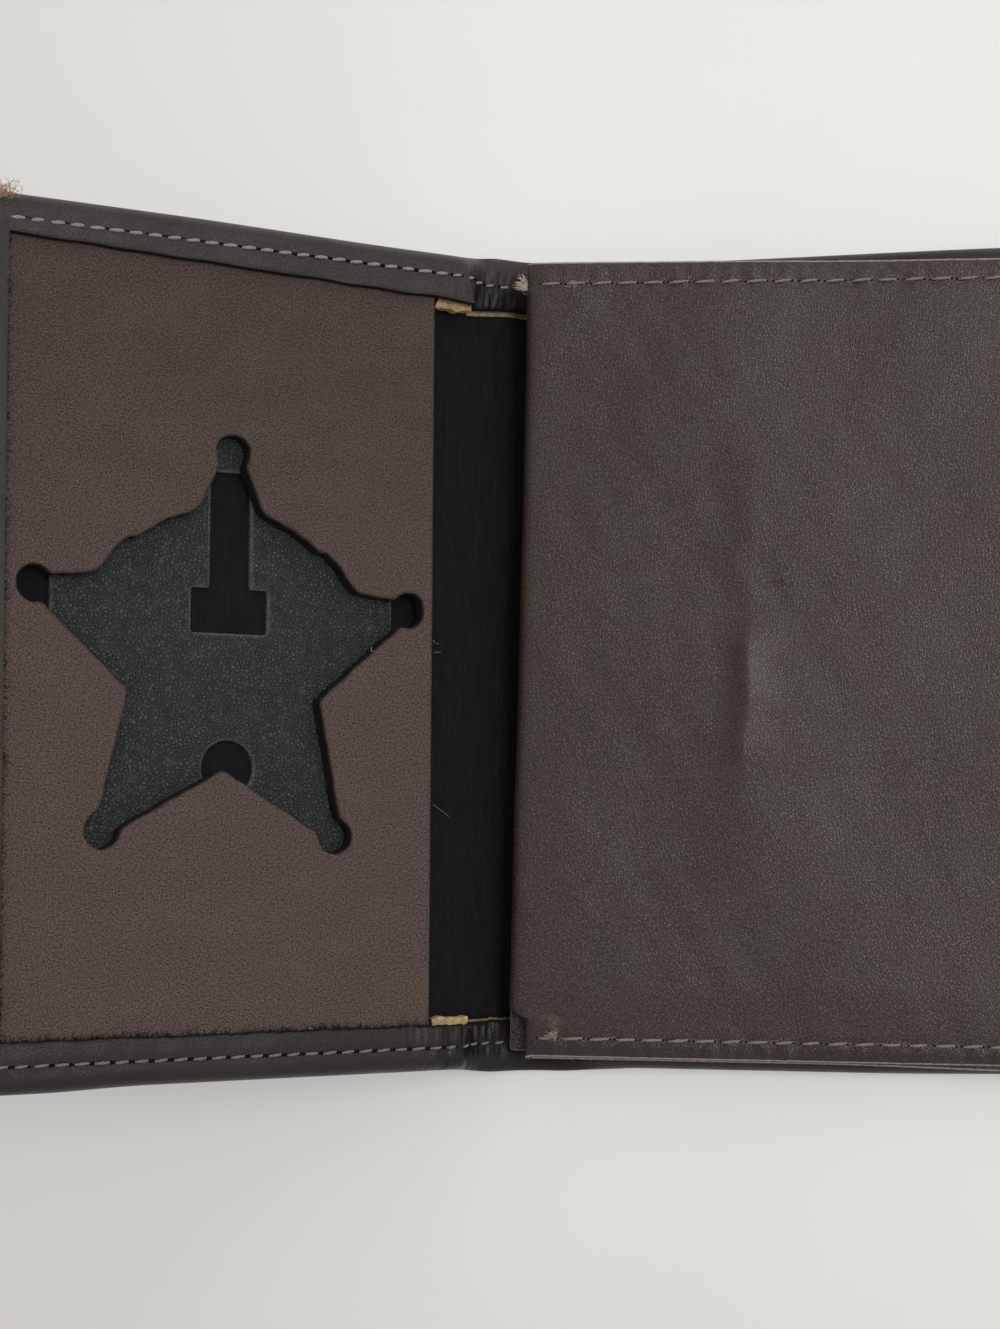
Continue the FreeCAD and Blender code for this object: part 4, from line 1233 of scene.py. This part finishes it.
def hem_seams():
    count = 24
    seam = HALF - SEAM_INSET
    # The lower seams on the badge cover and the spine take the darker copy of the thread: painted shade.
    for place, line, radius, thread in (("top", seam, STITCH_RADIUS, hem_thread),
                                        ("bottom", -seam, THIN_STITCH, shaded_hem_thread)):
        x = -COVER + BADGE_FIRST + PITCH * np.arange(count)
        level = seam_level(x - ARC + 0.5 * STITCH, line)
        piece = stitches("badge_%s_seam" % place, columns(x, line, level), 0,
                         STITCH, radius, HOLE, raised, thread, seed=71)
        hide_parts("badge_%s_stitches" % place)
        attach(piece, "badge_cover")
        x = SPINE + ID_FIRST + PITCH * np.arange(count)
        level = seam_level(x + 0.5 * STITCH, line)
        piece = stitches("id_%s_seam" % place, columns(x, line, level), 0,
                         STITCH, STITCH_RADIUS, HOLE, folded, hem_thread, seed=72)
        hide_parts("id_%s_stitches" % place)
        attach(piece, "id_cover")
        x = np.arange(BADGE_BORDER - 4.5, SPINE + 1.5, SPINE_PITCH)
        level = seam_level(x + 0.9, line)
        piece = stitches("spine_%s_seam" % place, columns(x, line, level), 0,
                         SPINE_STITCH, THIN_STITCH, HOLE, folded, thread, seed=73)
        bends_with_cover(piece)


def end_seams():
    y = -HALF + HEM_WIDTH + PITCH * np.arange(38)
    line = COVER - END_SEAM_INSET
    for side, place, body in ((-1.0, raised, "badge_cover"), (1.0, folded, "id_cover")):
        label = body.split("_")[0]
        piece = stitches(label + "_end_seam", columns(side * line, y, HEM_TOP), 1,
                         STITCH, STITCH_RADIUS, HOLE, place, hem_thread, seed=74)
        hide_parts(label + "_end_stitches")
        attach(piece, body)


def flap_seams():
    x = FLAP_FIRST + FLAP_PITCH * np.arange(19)
    for place, line in (("top", FLAP_SEAM), ("bottom", -FLAP_SEAM)):
        level = FLAP_TOP + flap_relief(x + 1.4, line) + 0.02
        piece = stitches("flap_%s_seam" % place, columns(x, flap_edge(x, line), level), 0,
                         FLAP_STITCH, FLAP_STITCH_RADIUS, FLAP_HOLE, lying, flap_thread, seed=75)
        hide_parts("flap_%s_stitches" % place)
        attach(piece, "flap")


# Loose fibres

def strands(name, roots, tips, place, material, body, bow, radius, seed):
    """Thin bent fibres from roots to tips, given in flat millimetres."""
    rng = np.random.default_rng(seed)
    rings, around = 6, 3
    share, turn = (part.reshape(-1, 1) for part in np.meshgrid(np.linspace(0.0, 1.0, rings),
                                                               full_turn(around), indexing="ij"))
    ring = columns(np.cos(turn), np.sin(turn), np.sin(turn + 1.0)) * radius * (1.0 - 0.6 * share)
    tube = tube_faces(rings, around)
    points, faces, flat = [], [], []
    for number, (root, tip) in enumerate(zip(roots, tips)):
        push = rng.normal(0.0, bow, 3)
        middle = root + (tip - root) * share + push * 4.0 * share * (1.0 - share)
        points.append(middle + ring)
        flat.append(columns(middle[:, 0] * 3.0, middle[:, 1] * 3.0 + share[:, 0]))
        faces += shifted(tube, number * rings * around)
    piece = new_mesh(name, place(np.vstack(points)), faces, np.vstack(flat), [material])
    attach(piece, body)
    return piece


def hem_fluff():
    """Black fibres along the raw borders of the lower and end hems."""
    rng = np.random.default_rng(81)
    level = FACE_TOP + 0.3

    def drift(count):
        """How far tips lie from their roots: out over the suede, along the hem, and up or down."""
        out = np.abs(rng.normal(0.35, 0.4, count))
        along = rng.normal(0.0, 0.5, count)
        return out, along, rng.uniform(-0.3, 0.3, count)

    count = 520
    x = rng.uniform(-COVER + END_HEM, -FACE_EDGE, count)
    low_roots = columns(x, -HALF + low_hem(x - ARC) - 0.1, level)
    out, along, up = drift(count)
    low_tips = low_roots + columns(along, out, up)
    count = 640
    y = rng.uniform(-HALF + HEM_WIDTH, HALF - TOP_HEM_END, count)
    end_roots = columns(left_hem(y) - COVER - 0.1, y, level)
    end_tips = end_roots + columns(*drift(count))
    piece = strands("badge_hem_fluff", np.vstack((low_roots, end_roots)), np.vstack((low_tips, end_tips)),
                    raised, black_fibre, "badge_cover", bow=0.12, radius=0.05, seed=82)


def star_fluff():
    """Short dark fibres round the cut edge of the star."""
    rng = np.random.default_rng(83)
    count = 700
    picks = rng.integers(0, len(star), count)
    inward = grown(star, -1.0) - star
    roots = columns(star[picks], rng.uniform(SPACER_TOP - 0.6, FACE_TOP - 0.2, count))
    reach = np.abs(rng.normal(0.15, 0.2, count))
    tips = roots + columns(inward[picks] * reach[:, None], rng.normal(0.0, 0.25, count))
    tips[:, :2] += rng.normal(0.0, 0.2, (count, 2))
    piece = strands("badge_star_fluff", roots, tips, raised, black_fibre, "badge_cover",
                    bow=0.08, radius=0.035, seed=84)


def thread_ends():
    """Frayed thread ends at the flap's upper corner and at the badge cover's far corner."""
    rng = np.random.default_rng(85)
    count = 130
    turn = np.radians(rng.uniform(115.0, 180.0, count))
    reach = rng.uniform(0.9, 2.5, count)
    roots = np.array((-1.4, 52.9, 8.3)) + rng.normal(0.0, 0.2, (count, 3))
    tips = roots + columns(reach * np.cos(turn), reach * np.sin(turn), rng.uniform(-1.2, 0.4, count))
    strands("flap_frayed_thread", roots, tips, lying, pale_fibre, "flap",
            bow=0.2, radius=0.055, seed=86)
    count = 90
    roots = np.array((-77.6, HALF - 0.5, 5.2)) + rng.normal(0.0, 0.5, (count, 3)) * (1.6, 0.5, 0.4)
    tips = roots + columns(rng.normal(0.3, 1.1, count), rng.uniform(-0.4, 1.8, count),
                           rng.uniform(-0.2, 1.1, count))
    strands("badge_frayed_thread", roots, tips, raised, pink_fibre, "badge_cover",
            bow=0.3, radius=0.06, seed=87)


def flap_knots():
    """Thread caught several times near the fold, and wisps along the flap's seams."""
    rng = np.random.default_rng(91)
    knots = []
    for x, y in ((4.8, FLAP_SEAM + 0.25), (2.4, -FLAP_SEAM + 0.5)):
        knots.append(np.array((x, y, FLAP_TOP)) + rng.normal(0.0, 0.3, (34, 3)) * (1.7, 0.8, 0.3))
    roots = np.vstack(knots)
    tips = roots + rng.normal(0.0, 0.5, roots.shape) * (1.0, 0.5, 0.2)
    strands("flap_seam_knots", roots, tips, lying, flap_fibre, "flap",
            bow=0.22, radius=0.09, seed=92)
    count = 150
    x = rng.uniform(FLAP_FIRST, FLAP_END - 5.0, count)
    y = rng.choice((-FLAP_SEAM, FLAP_SEAM), count)
    level = FLAP_TOP + flap_relief(x, y) + 0.2
    roots = columns(x, flap_edge(x, y), level) + rng.normal(0.0, 0.1, (count, 3))
    tips = roots + rng.normal(0.0, 0.6, (count, 3)) * (1.5, 0.6, 0.1)
    strands("flap_seam_wisps", roots, tips, lying, flap_fibre, "flap",
            bow=0.1, radius=0.035, seed=93)


def lint():
    """A few pale specks and one hair on the lining and at the star: each one's place and its reach."""
    on_lining, on_face, on_floor = LINING_TOP + 0.1, FACE_TOP + 0.1, FLOOR_TOP + 0.1
    fibres = np.array((
        (-13.2, 2.6, on_lining, 0.9, -0.5, 0.15),
        (-13.0, -20.5, on_lining, 2.6, -1.8, 0.2),
        (-13.2, 0.9, on_lining, 1.1, 0.2, 0.1),
        (-24.4, 0.9, on_face, 0.4, -0.4, 0.15),
        (-36.7, 2.4, on_floor, 0.3, 0.2, 0.1)))
    roots, reach = fibres[:, :3], fibres[:, 3:]
    strands("badge_lint", roots, roots + reach, raised, flap_fibre, "badge_cover",
            bow=0.2, radius=0.045, seed=88)


# The frame's own boards and clear sheet

def carried_over():
    for name, material in (("id_cover_board", grey_board), ("id_pocket_spacer", grey_board),
                           ("flap_stiffener", brown_board), ("id_window_sheet", clear_vinyl)):
        mesh = frame["nodes"][name].data
        mesh.materials.clear()
        mesh.materials.append(material)


for make in (wallet_leather, flesh_side, lining, face_panel, spacer, recess_floor, window_frame,
             pocket_cloth, flap_leather, corner_tab, hinge_strip, hem_seams, end_seams, flap_seams,
             hem_fluff, star_fluff, thread_ends, flap_knots, lint, carried_over):
    make()


# Floor, light and camera

def larger_of(tree, first, second):
    return add_node(tree, "Math", "Value", {0: first, 1: second}, operation="MAXIMUM")


def background_rays(tree):
    """1 for rays that show the background: straight to the camera, mirrored, or through the clear sheet."""
    path = tree.nodes.new("ShaderNodeLightPath").outputs
    share = larger_of(tree, path["Is Camera Ray"], path["Is Glossy Ray"])
    return larger_of(tree, share, path["Is Transmission Ray"])


def table_top():
    """A pale table, darker away from a point near the wallet, a painted pool of light; part of its
    brightness is its own, so that the shadow on it stays soft.
    """
    paint = Paint("pale_table")
    smears = paint.noise(60.0, 4.0)
    specks = paint.noise(1.2, 3.0)
    colour = paint.blend(smears, tint(228, 228, 224), tint(236, 236, 233))
    # Painted pool of light: the table darkens with distance from this point.
    away = paint.node("VectorMath", "Value", {0: paint.place, 1: (30.0, 60.0, 0.0)}, operation="DISTANCE")
    colour = paint.tinge(colour, tint(202, 199, 195), away, 90.0, 260.0)
    paint.bump(specks, 0.01)
    material = paint.finish(colour, paint.remap(smears, 0.3, 0.7, 0.5, 0.65), 0.3)
    glow = paint.node("Emission", "Emission", {"Color": colour, "Strength": 0.87})
    share = paint.product(background_rays(paint.tree), 0.4)
    mix = paint.node("MixShader", "Shader", {0: share, 1: paint.surface.outputs["BSDF"], 2: glow})
    put(paint.tree, paint.output.inputs["Surface"], mix)
    reach = 1500.0
    points = columns(box_outline(-reach, reach, -reach, reach), 0.0)
    floor = new_mesh("table_top", points * MM, [(0, 1, 2, 3)], points[:, :2], [material])
    floor.location.z = -0.00004


def key_light():
    """One round lamp above the far right-hand side, aimed at the wallet."""
    place = (0.52, 0.14, 1.0)
    data = bpy.data.lights.new("key", "AREA")
    data.shape = "DISK"
    data.size = 0.4
    data.energy = 5.0
    data.color = (1.0, 1.0, 0.985)
    light = bpy.data.objects.new("key", data)
    light.location = place
    light.rotation_euler = (-Vector(place)).to_track_quat("-Z", "Y").to_euler()
    bpy.context.scene.collection.objects.link(light)


def sky():
    """Soft light, brighter towards a wide window beyond the upper right; pale walls under a dim ceiling."""
    world = bpy.data.worlds.new("studio")
    world.use_nodes = True
    bpy.context.scene.world = world
    tree = world.node_tree
    place = add_node(tree, "TexCoord", "Generated", {})

    def ramp(direction, low, high, least, most):
        """From least to most, as the way that is looked turns towards the direction."""
        towards = add_node(tree, "VectorMath", "Value", {0: place, 1: Vector(direction).normalized()},
                           operation="DOT_PRODUCT")
        return add_node(tree, "MapRange", "Result", {
            "Value": towards, "From Min": low, "From Max": high, "To Min": least, "To Max": most},
            interpolation_type="SMOOTHSTEP")

    def glow(strength):
        return add_node(tree, "Background", "Background", {
            "Color": (1.0, 1.0, 0.985, 1.0), "Strength": strength})

    window = (0.5, 0.55, 0.67)
    ceiling = (0.0, 0.0, 1.0)
    room = larger_of(tree, ramp(window, 0.6, 0.95, 0.35, 1.0), ramp(ceiling, 0.55, 0.8, 0.9, 0.35))
    mix = add_node(tree, "MixShader", "Shader", {
        0: background_rays(tree), 1: glow(ramp(window, 0.1, 1.0, 0.4, 1.25)), 2: glow(room)})
    put(tree, tree.nodes["World Output"].inputs["Surface"], mix)


def camera():
    """The photograph's place and angle, found from the edges and the star's points."""
    picture_height, focal_length, sensor = 1329.0, 2351.0, 36.0
    data = bpy.data.cameras.new("camera")
    data.sensor_width = sensor
    data.lens = sensor * focal_length / picture_height
    data.clip_start = 0.01
    made = bpy.data.objects.new("camera", data)
    made.location = (-0.00214, -0.02271, 0.33536)
    made.rotation_euler = [math.radians(turn) for turn in (3.865, 8.243, 0.374)]
    bpy.context.scene.collection.objects.link(made)
    bpy.context.scene.camera = made


table_top()
key_light()
sky()
camera()
bpy.context.scene.view_settings.view_transform = "Standard"
